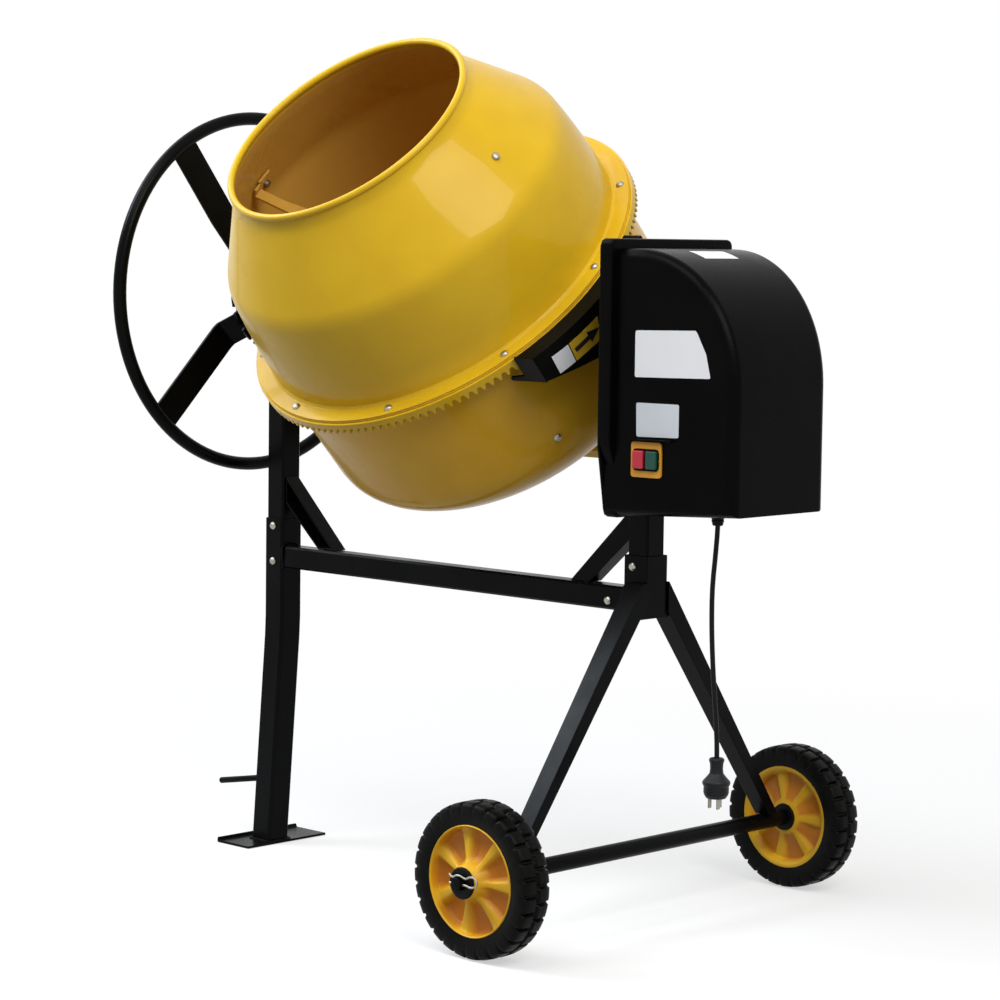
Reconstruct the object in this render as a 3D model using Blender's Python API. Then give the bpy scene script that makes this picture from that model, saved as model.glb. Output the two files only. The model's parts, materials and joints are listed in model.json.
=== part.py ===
"""Tilting-drum concrete mixer: frame, wheels, yoke, drum, drive and controls as separate pieces.

Metres, +Z up. X runs along the tilt axis (hand wheel at -X, motor housing at +X); the drum mouth
leans towards -Y. Every moving piece has its origin on its own joint axis.
"""
import math

import bmesh
import bpy
from mathutils import Matrix, Vector

# ---------------------------------------------------------------- driving dimensions
SHIFT_X = -0.05285          # machine centre to the middle of the footprint
SHIFT_Y = 0.0
GAP = 0.0003                # clearance between pieces that touch

TILT_Z = 0.8106             # height of the tilt axis
DRUM_TILT = math.radians(43.1)   # drum axis away from upright at rest

POST_X = 0.3555             # posts, left and right of the drum
POST_W = 0.035
POST_TOP = 0.850
LEG_W = 0.040               # outer tube the posts slide into
LEG_TOP = 0.480
LEG_KINK_Z = 0.320
LEG_LEAN = -0.023           # forward lean of the lower leg at the foot
TUBE_WALL = 0.0020

BAR_TOP = 0.4406            # crossbar
BAR_H = 0.0323
BAR_Y = (-0.0190, 0.0105)

AXLE_X = 0.3637
AXLE_Z = 0.0990
AXLE_R = 0.0110
STUB_R = 0.0080
AXLE_HALF = 0.2825
STUB_HALF = 0.3560

WHEEL_Y = 0.3100
TYRE_R = AXLE_Z
TYRE_W = 0.0467
RIM_R = 0.0708
LUGS = 28

FRAME_LEG_W = (0.026, 0.030)     # legs from the sleeve to the axle: width at the foot and at the top
FRAME_LEG_MID_Y = -0.005

HAND_X = -0.4220            # hand wheel
HAND_R = 0.2546
HAND_TUBE_R = 0.0095
SPOKE_W = 0.0445
SPOKE_T = 0.005
HUB_X = -0.3975

RING_TEETH = 150
PINION_TEETH = 18
PITCH_H = 0.0342            # pitch plane of the ring above the tilt axis, and pinion radius
RING_R = (0.2700, 0.2935)
FLANGE_R = 0.2900
FLANGE_TOP = 0.0518
FLANGE_BOLTS = 10
FLANGE_BOLT_R = 0.2785
FLANGE_BOLT_PHASE = math.radians(3.1)
SHELL_T = 0.0020

YOKE_X = 0.3105
YOKE_W = 0.050
YOKE_T = 0.020
YOKE_BEAM_H = -0.2735

HOUSE_X = (0.3771, 0.3940, 0.5770)   # open end, end of the rim, far end
HOUSE_RIM_Y = 0.1190
HOUSE_RIM_Z = (0.5410, 0.8962)
HOUSE_TOP = 0.8838
MOTOR_Z = 0.6250
BELT_X = (0.4340, 0.4460)

X = Vector((1, 0, 0))
Y = Vector((0, 1, 0))
Z = Vector((0, 0, 1))
TILT = Vector((0, 0, TILT_Z))
DRUM = Matrix.Translation(TILT) @ Matrix.Rotation(DRUM_TILT, 4, "X")
PI = math.pi


# ---------------------------------------------------------------- materials
def material(name, colour, roughness=0.4, metallic=0.0):
    """A plain Principled material."""
    mat = bpy.data.materials.new(name)
    mat.use_nodes = True
    bsdf = mat.node_tree.nodes["Principled BSDF"]
    bsdf.inputs["Base Color"].default_value = (*colour, 1.0)
    bsdf.inputs["Roughness"].default_value = roughness
    bsdf.inputs["Metallic"].default_value = metallic
    mat.diffuse_color = (*colour, 1.0)
    return mat


YELLOW = (0.80, 0.56, 0.05)
BLACK = (0.020, 0.021, 0.023)
ZINC = (0.55, 0.55, 0.56)
RUBBER = (0.015, 0.015, 0.016)
ORANGE = (0.78, 0.42, 0.06)
PLASTIC = (0.030, 0.030, 0.032)
STEEL = (0.30, 0.30, 0.31)


# ---------------------------------------------------------------- building blocks
def add(name, verts, faces, colour, origin=None, roughness=0.4, metallic=0.0, smooth=False):
    """Makes one named object from world points, with its origin where asked."""
    origin = Vector(origin) if origin is not None else Vector((0, 0, 0))
    mesh = bpy.data.meshes.new(name)
    mesh.from_pydata([tuple(Vector(v) - origin) for v in verts], [], faces)
    mesh.validate()
    mesh.update()
    obj = bpy.data.objects.new(name, mesh)
    bpy.context.scene.collection.objects.link(obj)
    obj.location = origin
    mesh.materials.append(material(name, colour, roughness, metallic))
    face_out(mesh)
    if smooth:
        for poly in mesh.polygons:
            poly.use_smooth = True
        mesh.set_sharp_from_angle(angle=math.radians(35))
    return obj


def face_out(mesh):
    """Turns every face of a closed mesh outwards."""
    bm = bmesh.new()
    bm.from_mesh(mesh)
    bmesh.ops.recalc_face_normals(bm, faces=bm.faces)
    if bm.calc_volume(signed=True) < 0:
        bmesh.ops.reverse_faces(bm, faces=bm.faces)
    bm.to_mesh(mesh)
    bm.free()


def skin(loops, first, last, base=0, closed_path=False):
    """Faces between equal loops of points, with the ends closed where asked."""
    n = len(loops[0])
    faces = []
    count = len(loops)
    for i in range(count if closed_path else count - 1):
        a, b = base + i * n, base + ((i + 1) % count) * n
        for j in range(n):
            k = (j + 1) % n
            faces.append((a + j, a + k, b + k, b + j))
    if first:
        faces.append(tuple(base + j for j in reversed(range(n))))
    if last:
        faces.append(tuple(base + (count - 1) * n + j for j in range(n)))
    return [p for loop in loops for p in loop], faces


def solid(name, loops, colour, **kw):
    """A solid bar through a row of loops."""
    verts, faces = skin(loops, True, True)
    return add(name, verts, faces, colour, **kw)


def pipe(name, outer, inner, colour, **kw):
    """A tube open at both ends."""
    verts, faces = skin(outer, False, False)
    base = len(verts)
    more, back = skin(inner, False, False, base)
    n = len(outer[0])
    ends = []
    for i, row in ((0, 0), (len(outer) - 1, len(inner) - 1)):
        a, b = i * n, base + row * n
        ends += [(a + j, a + (j + 1) % n, b + (j + 1) % n, b + j) for j in range(n)]
    return add(name, verts + more, faces + back + ends, colour, **kw)


def cup(name, outer, inner, colour, **kw):
    """A hollow body open at its first loop and closed at its last."""
    verts, faces = skin(outer, False, True)
    base = len(verts)
    more, back = skin(inner, False, True, base)
    n = len(outer[0])
    lip = [(j, (j + 1) % n, base + (j + 1) % n, base + j) for j in range(n)]
    return add(name, verts + more, faces + back + lip, colour, **kw)


def box(name, low, high, colour, **kw):
    """An upright block between two corners."""
    (x0, y0, z0), (x1, y1, z1) = low, high
    loops = [[(x0, y0, z), (x1, y0, z), (x1, y1, z), (x0, y1, z)] for z in (z0, z1)]
    return solid(name, [[Vector(p) for p in loop] for loop in loops], colour, **kw)


def prism(name, outline, low, high, colour, axis="X", frame=None, **kw):
    """A flat outline pushed along an axis: (y, z) along X, (x, z) along Y, (x, y) along Z."""
    place = {"X": lambda a, b, t: Vector((t, a, b)),
             "Y": lambda a, b, t: Vector((a, t, b)),
             "Z": lambda a, b, t: Vector((a, b, t))}[axis]
    frame = frame or Matrix.Identity(4)
    loops = [[frame @ place(a, b, t) for a, b in outline] for t in (low, high)]
    return solid(name, loops, colour, **kw)


def turn(name, profile, steps, colour, frame=None, closed=True, **kw):
    """A turned piece: (radius, height) points about the frame's Z axis.

    A closed profile stays off the axis; an open one starts and ends on it.
    """
    frame = frame or Matrix.Identity(4)
    ring = profile if closed else profile[1:-1]
    loops = []
    for i in range(steps):
        a = 2 * PI * i / steps
        loops.append([frame @ Vector((r * math.cos(a), r * math.sin(a), h)) for r, h in ring])
    n = len(ring)
    verts = [p for loop in loops for p in loop]
    faces = []
    for i in range(steps):
        a, b = i * n, ((i + 1) % steps) * n
        for j in range(n if closed else n - 1):
            k = (j + 1) % n
            faces.append((a + j, b + j, b + k, a + k))
    if not closed:
        low, high = len(verts), len(verts) + 1
        verts += [frame @ Vector((0, 0, profile[0][1])), frame @ Vector((0, 0, profile[-1][1]))]
        for i in range(steps):
            a, b = i * n, ((i + 1) % steps) * n
            faces.append((low, b, a))
            faces.append((a + n - 1, b + n - 1, high))
    return add(name, verts, faces, colour, **kw)


def rod(name, start, end, radius, colour, steps=12, **kw):
    """A plain round bar between two points."""
    start, end = Vector(start), Vector(end)
    frame = Matrix.Translation(start) @ (end - start).to_track_quat("Z", "Y").to_matrix().to_4x4()
    length = (end - start).length
    loops = [[frame @ Vector((radius * math.cos(2 * PI * i / steps),
                              radius * math.sin(2 * PI * i / steps), h)) for i in range(steps)]
             for h in (0, length)]
    return solid(name, loops, colour, **kw)


def bake(obj, others, operation):
    """Joins or cuts an object with helper solids, then drops the helpers."""
    for other in others:
        mod = obj.modifiers.new(operation, "BOOLEAN")
        mod.operation = operation
        mod.solver = "EXACT"
        mod.object = other
        bpy.context.view_layer.update()
        mesh = bpy.data.meshes.new_from_object(obj.evaluated_get(bpy.context.evaluated_depsgraph_get()))
        obj.modifiers.clear()
        old = obj.data
        obj.data = mesh
        mesh.name = obj.name
        bpy.data.meshes.remove(old)
    for other in others:
        bpy.data.objects.remove(other)
    mats = obj.data.materials
    while len(mats) > 1:
        mats.pop()
    for poly in obj.data.polygons:
        poly.material_index = 0
    return obj


def carve(obj, *cutters):
    return bake(obj, cutters, "DIFFERENCE")


def fuse(obj, *others):
    return bake(obj, others, "UNION")


def square(half_x, half_y, cx, cy, z, chamfer=0.003):
    """An upright tube's section: a square with small flats on its corners."""
    a, b, c = half_x, half_y, chamfer
    pts = [(-a + c, -b), (a - c, -b), (a, -b + c), (a, b - c),
           (a - c, b), (-a + c, b), (-a, b - c), (-a, -b + c)]
    return [Vector((cx + x, cy + y, z)) for x, y in pts]


def rounded(cx, cy, half_x, half_y, radius, steps=3):
    """A flat outline with rounded corners."""
    pts = []
    for sx, sy, start in ((1, 1, 0), (-1, 1, 90), (-1, -1, 180), (1, -1, 270)):
        for i in range(steps + 1):
            a = math.radians(start + 90 * i / steps)
            pts.append((cx + sx * (half_x - radius) + radius * math.cos(a),
                        cy + sy * (half_y - radius) + radius * math.sin(a)))
    return pts


def smooth_route(points, spacing):
    """Even points along a soft curve through the given ones."""
    pts = [Vector(p) for p in points]
    ends = [pts[0] * 2 - pts[1]] + pts + [pts[-1] * 2 - pts[-2]]
    fine = []
    for i in range(1, len(ends) - 2):
        a, b, c, d = ends[i - 1:i + 3]
        for k in range(24):
            t = k / 24
            fine.append(0.5 * (2 * b + (c - a) * t + (2 * a - 5 * b + 4 * c - d) * t * t
                               + (3 * b - a - 3 * c + d) * t ** 3))
    fine.append(pts[-1])
    total = sum((q - p).length for p, q in zip(fine, fine[1:]))
    count = max(2, round(total / spacing))
    out, run, k = [fine[0]], 0.0, 1
    for p, q in zip(fine, fine[1:]):
        step = (q - p).length
        while k < count and run + step >= total * k / count:
            out.append(p.lerp(q, (total * k / count - run) / step))
            k += 1
        run += step
    return out + [fine[-1]]


def wire(name, route, radius, colour, steps=8, **kw):
    """A round wire along a route, carried without twist."""
    pts = [Vector(p) for p in route]
    loops = []
    side = None
    for i, p in enumerate(pts):
        ahead = pts[min(i + 1, len(pts) - 1)] - p
        behind = p - pts[max(i - 1, 0)]
        along = (ahead.normalized() + behind.normalized()).normalized()
        if side is None:
            side = along.orthogonal().normalized()
        side = (side - along * side.dot(along)).normalized()
        up = along.cross(side)
        loops.append([p + radius * (math.cos(2 * PI * k / steps) * side
                                    + math.sin(2 * PI * k / steps) * up) for k in range(steps)])
    return solid(name, loops, colour, **kw)


# ---------------------------------------------------------------- left post, foot and crossbar
def build_left_side():
    lx = -POST_X
    half, inner = LEG_W / 2, POST_W / 2 + GAP
    levels = ((LEG_TOP, 0.0), (LEG_KINK_Z + 0.015, 0.0), (LEG_KINK_Z - 0.015, LEG_LEAN * 0.05),
              (0.0038, LEG_LEAN))
    leg = pipe("left_leg",
               [square(half, half, lx, dy, z, 0.004) for z, dy in levels],
               [square(inner, inner, lx, dy, z, 0.002) for z, dy in levels],
               BLACK, smooth=False)
    post_in = POST_W / 2 - TUBE_WALL
    post = pipe("left_post",
                [square(POST_W / 2, POST_W / 2, lx, 0, z) for z in (0.385, POST_TOP)],
                [square(post_in, post_in, lx, 0, z, 0.002) for z in (0.385, POST_TOP)], BLACK)
    for z in (0.4690, 0.4170):
        for obj in (leg, post):
            carve(obj, rod("cut", (lx, -0.05, z), (lx, 0.05, z), 0.0044, BLACK))
    carve(post, rod("cut", (lx - 0.05, 0, TILT_Z), (lx + 0.05, 0, TILT_Z), 0.0133, BLACK, 16))
    for name, z in (("bolt_left_upper", 0.4690), ("bolt_left_lower", 0.4170)):
        frame_bolt(name, (lx, z), half)

    # foot plate with a turned-up outer edge
    outline = [(-0.3985, 0.0), (-0.3305, 0.0), (-0.3305, 0.0035), (-0.3940, 0.0035),
               (-0.3950, 0.0055), (-0.3960, 0.0078), (-0.3990, 0.0078), (-0.4000, 0.0020)]
    prism("foot_plate", outline, -0.0875, 0.0660, BLACK, axis="Y")
    rod("foot_peg", (-0.3768, -0.018, 0.0910), (-0.4705, -0.020, 0.0745), 0.0046, BLACK, 14)

    # crossbar between the left leg and the right sleeve
    x0, x1 = lx + half + GAP, POST_X - half - GAP
    cy, hy = sum(BAR_Y) / 2, (BAR_Y[1] - BAR_Y[0]) / 2
    cz, hz = BAR_TOP - BAR_H / 2, BAR_H / 2

    def section(x, cut):
        c = 0.003 - cut * 0.6
        a, b = hy - cut, hz - cut
        pts = [(-a + c, -b), (a - c, -b), (a, -b + c), (a, b - c),
               (a - c, b), (-a + c, b), (-a, b - c), (-a, -b + c)]
        return [Vector((x, cy + p, cz + q)) for p, q in pts]

    bar = pipe("crossbar", [section(x, 0) for x in (x0, x1)],
               [section(x, TUBE_WALL) for x in (x0, x1)], BLACK)
    carve(bar, rod("cut", (0.3066, -0.05, 0.4207), (0.3066, 0.05, 0.4207), 0.0044, BLACK))
    frame_bolt("bolt_crossbar", (0.3066, 0.4207), hy, cy)

    # braces: bent channels, the left open to the front and the right to the back
    outline = [(-0.3378 + GAP * 2, 0.5420), (-0.2330, BAR_TOP + GAP), (-0.2665, BAR_TOP + GAP),
               (-0.3378 + GAP * 2, 0.5036)]
    for name, side, cavity in (("left_brace", 1, (-0.020, 0.0095)), ("right_brace", -1, (-0.0095, 0.02))):
        shape = [(side * x, z) for x, z in outline]
        brace = prism(name, shape, -0.0125, 0.0120, BLACK, axis="Y")
        inside = inset(shape, 0.0026)
        carve(brace, prism("cut", inside, cavity[0], cavity[1], BLACK, axis="Y"))


def inset(shape, amount):
    """Moves every side of a convex outline inwards."""
    n = len(shape)
    pts = [Vector(p) for p in shape]
    area = sum(pts[i].x * pts[(i + 1) % n].y - pts[(i + 1) % n].x * pts[i].y for i in range(n))
    sign = 1 if area > 0 else -1
    lines = []
    for i in range(n):
        a, b = pts[i], pts[(i + 1) % n]
        d = (b - a).normalized()
        inward = Vector((-d.y, d.x)) * sign
        lines.append((a + inward * amount, d))
    out = []
    for i in range(n):
        (p, d), (q, e) = lines[i - 1], lines[i]
        t = ((q - p).x * e.y - (q - p).y * e.x) / (d.x * e.y - d.y * e.x)
        out.append(tuple(p + d * t))
    return out


def frame_bolt(name, place, half, mid_y=0.0):
    """A domed bolt through a tube, with its nut at the back."""
    x, z = place
    frame = Matrix.Translation((x, mid_y - half - GAP, z)) @ Matrix.Rotation(PI / 2, 4, "X")
    long = 2 * half + 2 * GAP
    profile = [(0, 0.0042), (0.0032, 0.0037), (0.0058, 0.0010), (0.0058, 0.0),
               (0.0040, 0.0), (0.0040, -long), (0.0064, -long), (0.0064, -long - 0.005),
               (0, -long - 0.0060)]
    turn(name, profile[::-1], 10, ZINC, frame=frame, closed=False, metallic=1.0, roughness=0.3)


# ---------------------------------------------------------------- right post, sleeve and legs
def build_right_side():
    rx = POST_X
    half = LEG_W / 2
    post_in = POST_W / 2 - TUBE_WALL
    post = pipe("right_post",
                [square(POST_W / 2, POST_W / 2, rx, 0, z) for z in (0.412, POST_TOP)],
                [square(post_in, post_in, rx, 0, z, 0.002) for z in (0.412, POST_TOP)], BLACK)
    carve(post, rod("cut", (rx - 0.05, 0, TILT_Z), (rx + 0.05, 0, TILT_Z), 0.0148, BLACK, 16))

    slope = 0.6986                        # change in Y for each metre down
    top_z, foot_z = 0.4490, AXLE_Z + AXLE_R + GAP
    mid = FRAME_LEG_MID_Y

    def outer(z, side):
        return mid + side * (0.0265 + (0.4486 - z) * slope)

    def run(z):
        """Depth of a leg along Y, which narrows towards the axle."""
        return 0.0289 + (z - 0.4056) * 0.037

    def inner(z, side):
        return outer(z, side) - side * run(z)

    def meeting(face):
        """Height at which a leg's inner edge reaches a face of the sleeve."""
        side = 1 if face > 0 else -1
        a, b = inner(0.40, side), inner(0.46, side)
        return 0.40 + 0.06 * (face - a) / (b - a)

    low = 0.4020
    gap_y = GAP * 1.3
    shape = [(-half, 0.4840), (-half, meeting(-half) - 0.0006), (inner(low, -1) + gap_y, low),
             (inner(low, 1) - gap_y, low), (half, meeting(half) - 0.0006), (half, 0.4840)]
    sleeve = prism("right_sleeve", shape, rx - half, rx + half, BLACK, axis="X")
    carve(sleeve, box("cut", (rx - POST_W / 2 - GAP, -POST_W / 2 - GAP, 0.38),
                      (rx + POST_W / 2 + GAP, POST_W / 2 + GAP, 0.50), BLACK))
    for obj in (post, sleeve):
        carve(obj, rod("cut", (0.3500, -0.05, 0.4690), (0.3500, 0.05, 0.4690), 0.0044, BLACK))
    frame_bolt("bolt_right_post", (0.3500, 0.4690), half)

    x1 = AXLE_X + FRAME_LEG_W[1] / 2

    def tapered(name, outline, skin_t=0.0):
        """A leg or its hollow: the face at x1 upright, the other leaning in towards the foot."""
        def x0(z):
            f = (z - foot_z) / (top_z - foot_z)
            return x1 - FRAME_LEG_W[0] - (FRAME_LEG_W[1] - FRAME_LEG_W[0]) * f + skin_t
        loops = [[Vector((x0(z), y, z)) for y, z in outline],
                 [Vector((x1 - skin_t, y, z)) for y, z in outline]]
        return solid(name, loops, BLACK)

    for name, side in (("front_leg", -1), ("rear_leg", 1)):
        face = side * (half + GAP)
        tip = outer(top_z, side)
        if side * tip > half + GAP + 0.002:
            pts = [(tip, top_z), (face, top_z)]
        else:
            pts = [(face + side * 0.0012, top_z), (face, top_z)]
        pts += [(face, meeting(face)), (inner(foot_z, side), foot_z), (outer(foot_z, side), foot_z)]
        leg = tapered(name, pts)
        hollow = inset([(outer(0.430, side), 0.430), (inner(0.430, side), 0.430),
                        (inner(0.08, side), 0.08), (outer(0.08, side), 0.08)], 0.0022)
        carve(leg, tapered("cut", hollow, 0.0022))


# ---------------------------------------------------------------- axle and road wheels
def along_y(x, y, z, side):
    """A frame whose Z axis points along +Y or -Y."""
    return Matrix.Translation((x, y, z)) @ Matrix.Rotation(-side * PI / 2, 4, "X")


def build_axle():
    frame = along_y(AXLE_X, 0, AXLE_Z, 1)
    a, s = AXLE_HALF, STUB_HALF
    profile = [(0, -s), (STUB_R - 0.001, -s), (STUB_R, -s + 0.001), (STUB_R, -a), (AXLE_R, -a),
               (AXLE_R, a), (STUB_R, a), (STUB_R, s - 0.001), (STUB_R - 0.001, s), (0, s)]
    axle = turn("axle", profile, 20, BLACK, frame=frame, closed=False)
    for side in (-1, 1):
        y = side * 0.3505
        carve(axle, rod("cut", (AXLE_X - 0.02, y, AXLE_Z), (AXLE_X + 0.02, y, AXLE_Z), 0.0019, BLACK, 12))


def build_wheel(label, side):
    hub = Vector((AXLE_X, side * WHEEL_Y, AXLE_Z))
    frame = along_y(*hub, side)
    steps = 35
    # wheel disc: seven shallow hollows between raised ribs, and a boss that stands out on the outside
    verts, faces = [], []
    rows = None
    for i in range(steps):
        a = 2 * PI * i / steps
        lobe = 0.5 + 0.5 * math.cos(7 * a)
        dip = 0.007 * (1 - lobe)
        front = [(0.0123, 0.0320), (0.0205, 0.0320), (0.0240, 0.0215), (0.0400, 0.0170 - dip),
                 (0.0610, 0.0135 - dip * 0.5), (0.0665, 0.0215), (RIM_R, 0.0220)]
        back = [(0.0123, 0.0190), (0.0235, 0.0190), (0.0270, 0.0150), (0.0400, 0.0150 - dip),
                (0.0610, 0.0120 - dip * 0.5), (0.0665, 0.0200), (RIM_R, 0.0205)]
        ring = front + [(r, -h) for r, h in reversed(back)]
        rows = len(ring)
        for r, h in ring:
            verts.append(frame @ Vector((r * math.cos(a), r * math.sin(a), h)))
    for i in range(steps):
        a, b = i * rows, ((i + 1) % steps) * rows
        for j in range(rows):
            k = (j + 1) % rows
            faces.append((a + j, b + j, b + k, a + k))
    add(label + "_rim", verts, faces, ORANGE, origin=hub, roughness=0.45)

    # tyre: a carcass whose outer band steps out at each lug
    verts, faces = [], []
    w = TYRE_W / 2
    columns = []
    for i in range(LUGS):
        base = 2 * PI * i / LUGS
        pitch = 2 * PI / LUGS
        columns += [(base, True), (base + pitch * 0.66, True), (base + pitch * 0.83, False)]
    for a, high in columns:
        tread = TYRE_R if high else TYRE_R - 0.0050
        shoulder = TYRE_R - 0.0035 if high else TYRE_R - 0.0075
        ring = [(RIM_R + GAP, w - 0.0030), (0.0810, w), (shoulder, w - 0.0025), (tread, w - 0.0090)]
        ring = ring + [(r, -h) for r, h in reversed(ring)]
        for r, h in ring:
            verts.append(frame @ Vector((r * math.cos(a), r * math.sin(a), h)))
    rows, count = 8, len(columns)
    for i in range(count):
        a, b = i * rows, ((i + 1) % count) * rows
        for j in range(rows):
            k = (j + 1) % rows
            faces.append((a + j, b + j, b + k, a + k))
    add(label + "_tyre", verts, faces, RUBBER, origin=hub, roughness=0.85)

    # black bush through the disc, flanged on both faces
    g = GAP
    profile = [(STUB_R + g, 0.0363), (0.0192, 0.0363), (0.0202, 0.0320 + g), (0.0123 - g, 0.0320 + g),
               (0.0123 - g, -0.0190 - g), (0.0190, -0.0190 - g), (0.0180, -0.0232), (STUB_R + g, -0.0232)]
    turn(label + "_bush", profile, 20, PLASTIC, frame=frame, origin=hub)

    # spring clip through the axle end
    y = side * 0.3505
    path = [(-0.0150, 0), (-0.008, 0), (0, 0), (0.008, 0), (0.0150, 0), (0.0195, -0.0010), (0.0245, 0.0005),
            (0.0275, 0.0045), (0.0265, 0.0090), (0.0225, 0.0115), (0.0175, 0.0105), (0.0130, 0.0085),
            (0.0085, 0.0092), (0.0040, 0.0105), (0, 0.0108), (-0.0040, 0.0102), (-0.0085, 0.0080),
            (-0.0125, 0.0085), (-0.0155, 0.0110)]
    route = smooth_route([(AXLE_X + px, y, AXLE_Z + pz) for px, pz in path], 0.0032)
    wire(label + "_clip", route, 0.00145, ZINC, 6, metallic=1.0, roughness=0.25)


# ---------------------------------------------------------------- tilting yoke and hand wheel
def build_yoke():
    w = YOKE_W / 2
    t = YOKE_T / 2
    path = [(-YOKE_X, 0.028), (-YOKE_X, -0.205), (-0.242, YOKE_BEAM_H), (0.242, YOKE_BEAM_H),
            (YOKE_X, -0.205), (YOKE_X, 0.028)]

    def loops(half_w, half_t, chamfer):
        rows = []
        pts = [Vector(p) for p in path]
        for i, p in enumerate(pts):
            d0 = (p - pts[i - 1]).normalized() if i else (pts[1] - p).normalized()
            d1 = (pts[i + 1] - p).normalized() if i < len(pts) - 1 else d0
            n0, n1 = Vector((-d0.y, d0.x)), Vector((-d1.y, d1.x))
            m = (n0 + n1).normalized()
            m = m / m.dot(n0)
            c = chamfer
            sec = [(-half_w + c, -half_t), (half_w - c, -half_t), (half_w, -half_t + c),
                   (half_w, half_t - c), (half_w - c, half_t), (-half_w + c, half_t),
                   (-half_w, half_t - c), (-half_w, -half_t + c)]
            rows.append([DRUM @ Vector((p.x + m.x * q, v, p.y + m.y * q)) for v, q in sec])
        return rows

    yoke = pipe("yoke", loops(w, t, 0.003), loops(w - 0.0022, t - 0.0022, 0.0015), YELLOW,
                origin=TILT)
    carve(yoke,
          rod("cut", (-0.34, 0, TILT_Z), (-0.28, 0, TILT_Z), 0.0103, YELLOW, 16),
          rod("cut", (0.28, 0, TILT_Z), (0.34, 0, TILT_Z), 0.0123, YELLOW, 16),
          rod("cut", DRUM @ Vector((0, 0, -0.30)), DRUM @ Vector((0, 0, -0.25)), 0.0207, YELLOW, 20))

    along_x = Matrix.Translation(TILT) @ Matrix.Rotation(PI / 2, 4, "Y")
    turn("trunnion_left", [(0, -0.4360), (0.0085, -0.4360), (0.0100, -0.4340), (0.0100, -0.2990),
                           (0, -0.2990)], 24, STEEL, frame=along_x, closed=False, origin=TILT,
         metallic=1.0)
    turn("trunnion_right", [(0.0077, 0.2990), (0.0120, 0.2990), (0.0120, 0.3850), (0.0077, 0.3850)],
         24, STEEL, frame=along_x, origin=TILT, metallic=1.0)

    # bearing bushes in the two posts
    px, h = POST_X, POST_W / 2
    for name, side, bore, outer, flange in (("bearing_left", -1, 0.0103, 0.0130, 0.0165),
                                            ("bearing_right", 1, 0.0123, 0.0145, 0.0165)):
        a, b = side * px - h - GAP, side * px + h + GAP
        if side > 0:
            profile = [(bore, a - 0.0025), (flange, a - 0.0025), (flange, a), (outer, a),
                       (outer, b - 2 * GAP), (bore, b - 2 * GAP)]
        else:
            profile = [(bore, a + 2 * GAP), (outer, a + 2 * GAP), (outer, b), (flange, b),
                       (flange, b + 0.0025), (bore, b + 0.0025)]
        turn(name, profile, 20, STEEL, frame=along_x, metallic=1.0)

    # bottom bearing for the drum shaft
    profile = [(0.0128, -0.2838), (0.0200, -0.2838), (0.0200, -0.2632), (0.0280, -0.2632),
               (0.0280, -0.2558), (0.0128, -0.2558)]
    turn("drum_bearing", profile, 20, PLASTIC, frame=DRUM, origin=TILT)


def build_hand_wheel():
    hub = Vector((HAND_X, 0, TILT_Z))
    frame = Matrix.Translation(hub) @ Matrix.Rotation(PI / 2, 4, "Y")
    profile = [(HAND_R + HAND_TUBE_R * math.cos(2 * PI * k / 8), HAND_TUBE_R * math.sin(2 * PI * k / 8))
               for k in range(8)]
    wheel = turn("hand_wheel", profile, 44, BLACK, frame=frame, origin=TILT, smooth=False)
    dish = HUB_X - HAND_X
    disc = turn("hub", [(0.0103, dish - SPOKE_T / 2 - 0.0002), (0.0103, dish + SPOKE_T / 2 + 0.0090),
                        (0.0200, dish + SPOKE_T / 2 + 0.0090), (0.0220, dish + SPOKE_T / 2 + 0.0005),
                        (0.0500, dish + SPOKE_T / 2 + 0.0005), (0.0500, dish - SPOKE_T / 2 - 0.0002)],
                24, BLACK, frame=frame)
    parts = [disc]
    late = [(0.040, dish), (0.062, dish), (0.088, 0.0), (HAND_R - 0.003, 0.0)]
    early = [(0.040, dish), (0.062, dish), (0.093, 0.0198), (0.134, 0.0110), (HAND_R - 0.003, 0.0)]
    for angle, line in ((123.6, early), (226.2, late), (350.0, late)):
        a = math.radians(angle)
        out = Vector((0, math.cos(a), math.sin(a)))
        across = Vector((0, -math.sin(a), math.cos(a)))
        t = SPOKE_T / 2
        loops = []
        for r, x in line:
            p = hub + out * r + X * x
            w = across * SPOKE_W / 2
            loops.append([p - w - X * t, p + w - X * t, p + w + X * t, p - w + X * t])
        parts.append(solid("spoke", loops, BLACK))
    fuse(wheel, *parts)

    # notched lock plate on the outer face of the left post
    pts = []
    notches = 18
    for i in range(notches):
        b = 2 * PI * i / notches
        p = 2 * PI / notches
        for f, r in ((0.0, 0.0850), (0.35, 0.0850), (0.70, 0.0850), (0.73, 0.0790), (0.97, 0.0790)):
            pts.append((r * math.cos(b + p * f), TILT_Z + r * math.sin(b + p * f)))
    outer_x = -POST_X - POST_W / 2 - GAP
    plate = prism("lock_plate", pts, outer_x - 0.0045, outer_x, BLACK, axis="X")
    carve(plate, rod("cut", (-0.40, 0, TILT_Z), (-0.36, 0, TILT_Z), 0.0125, BLACK, 16))


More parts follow.
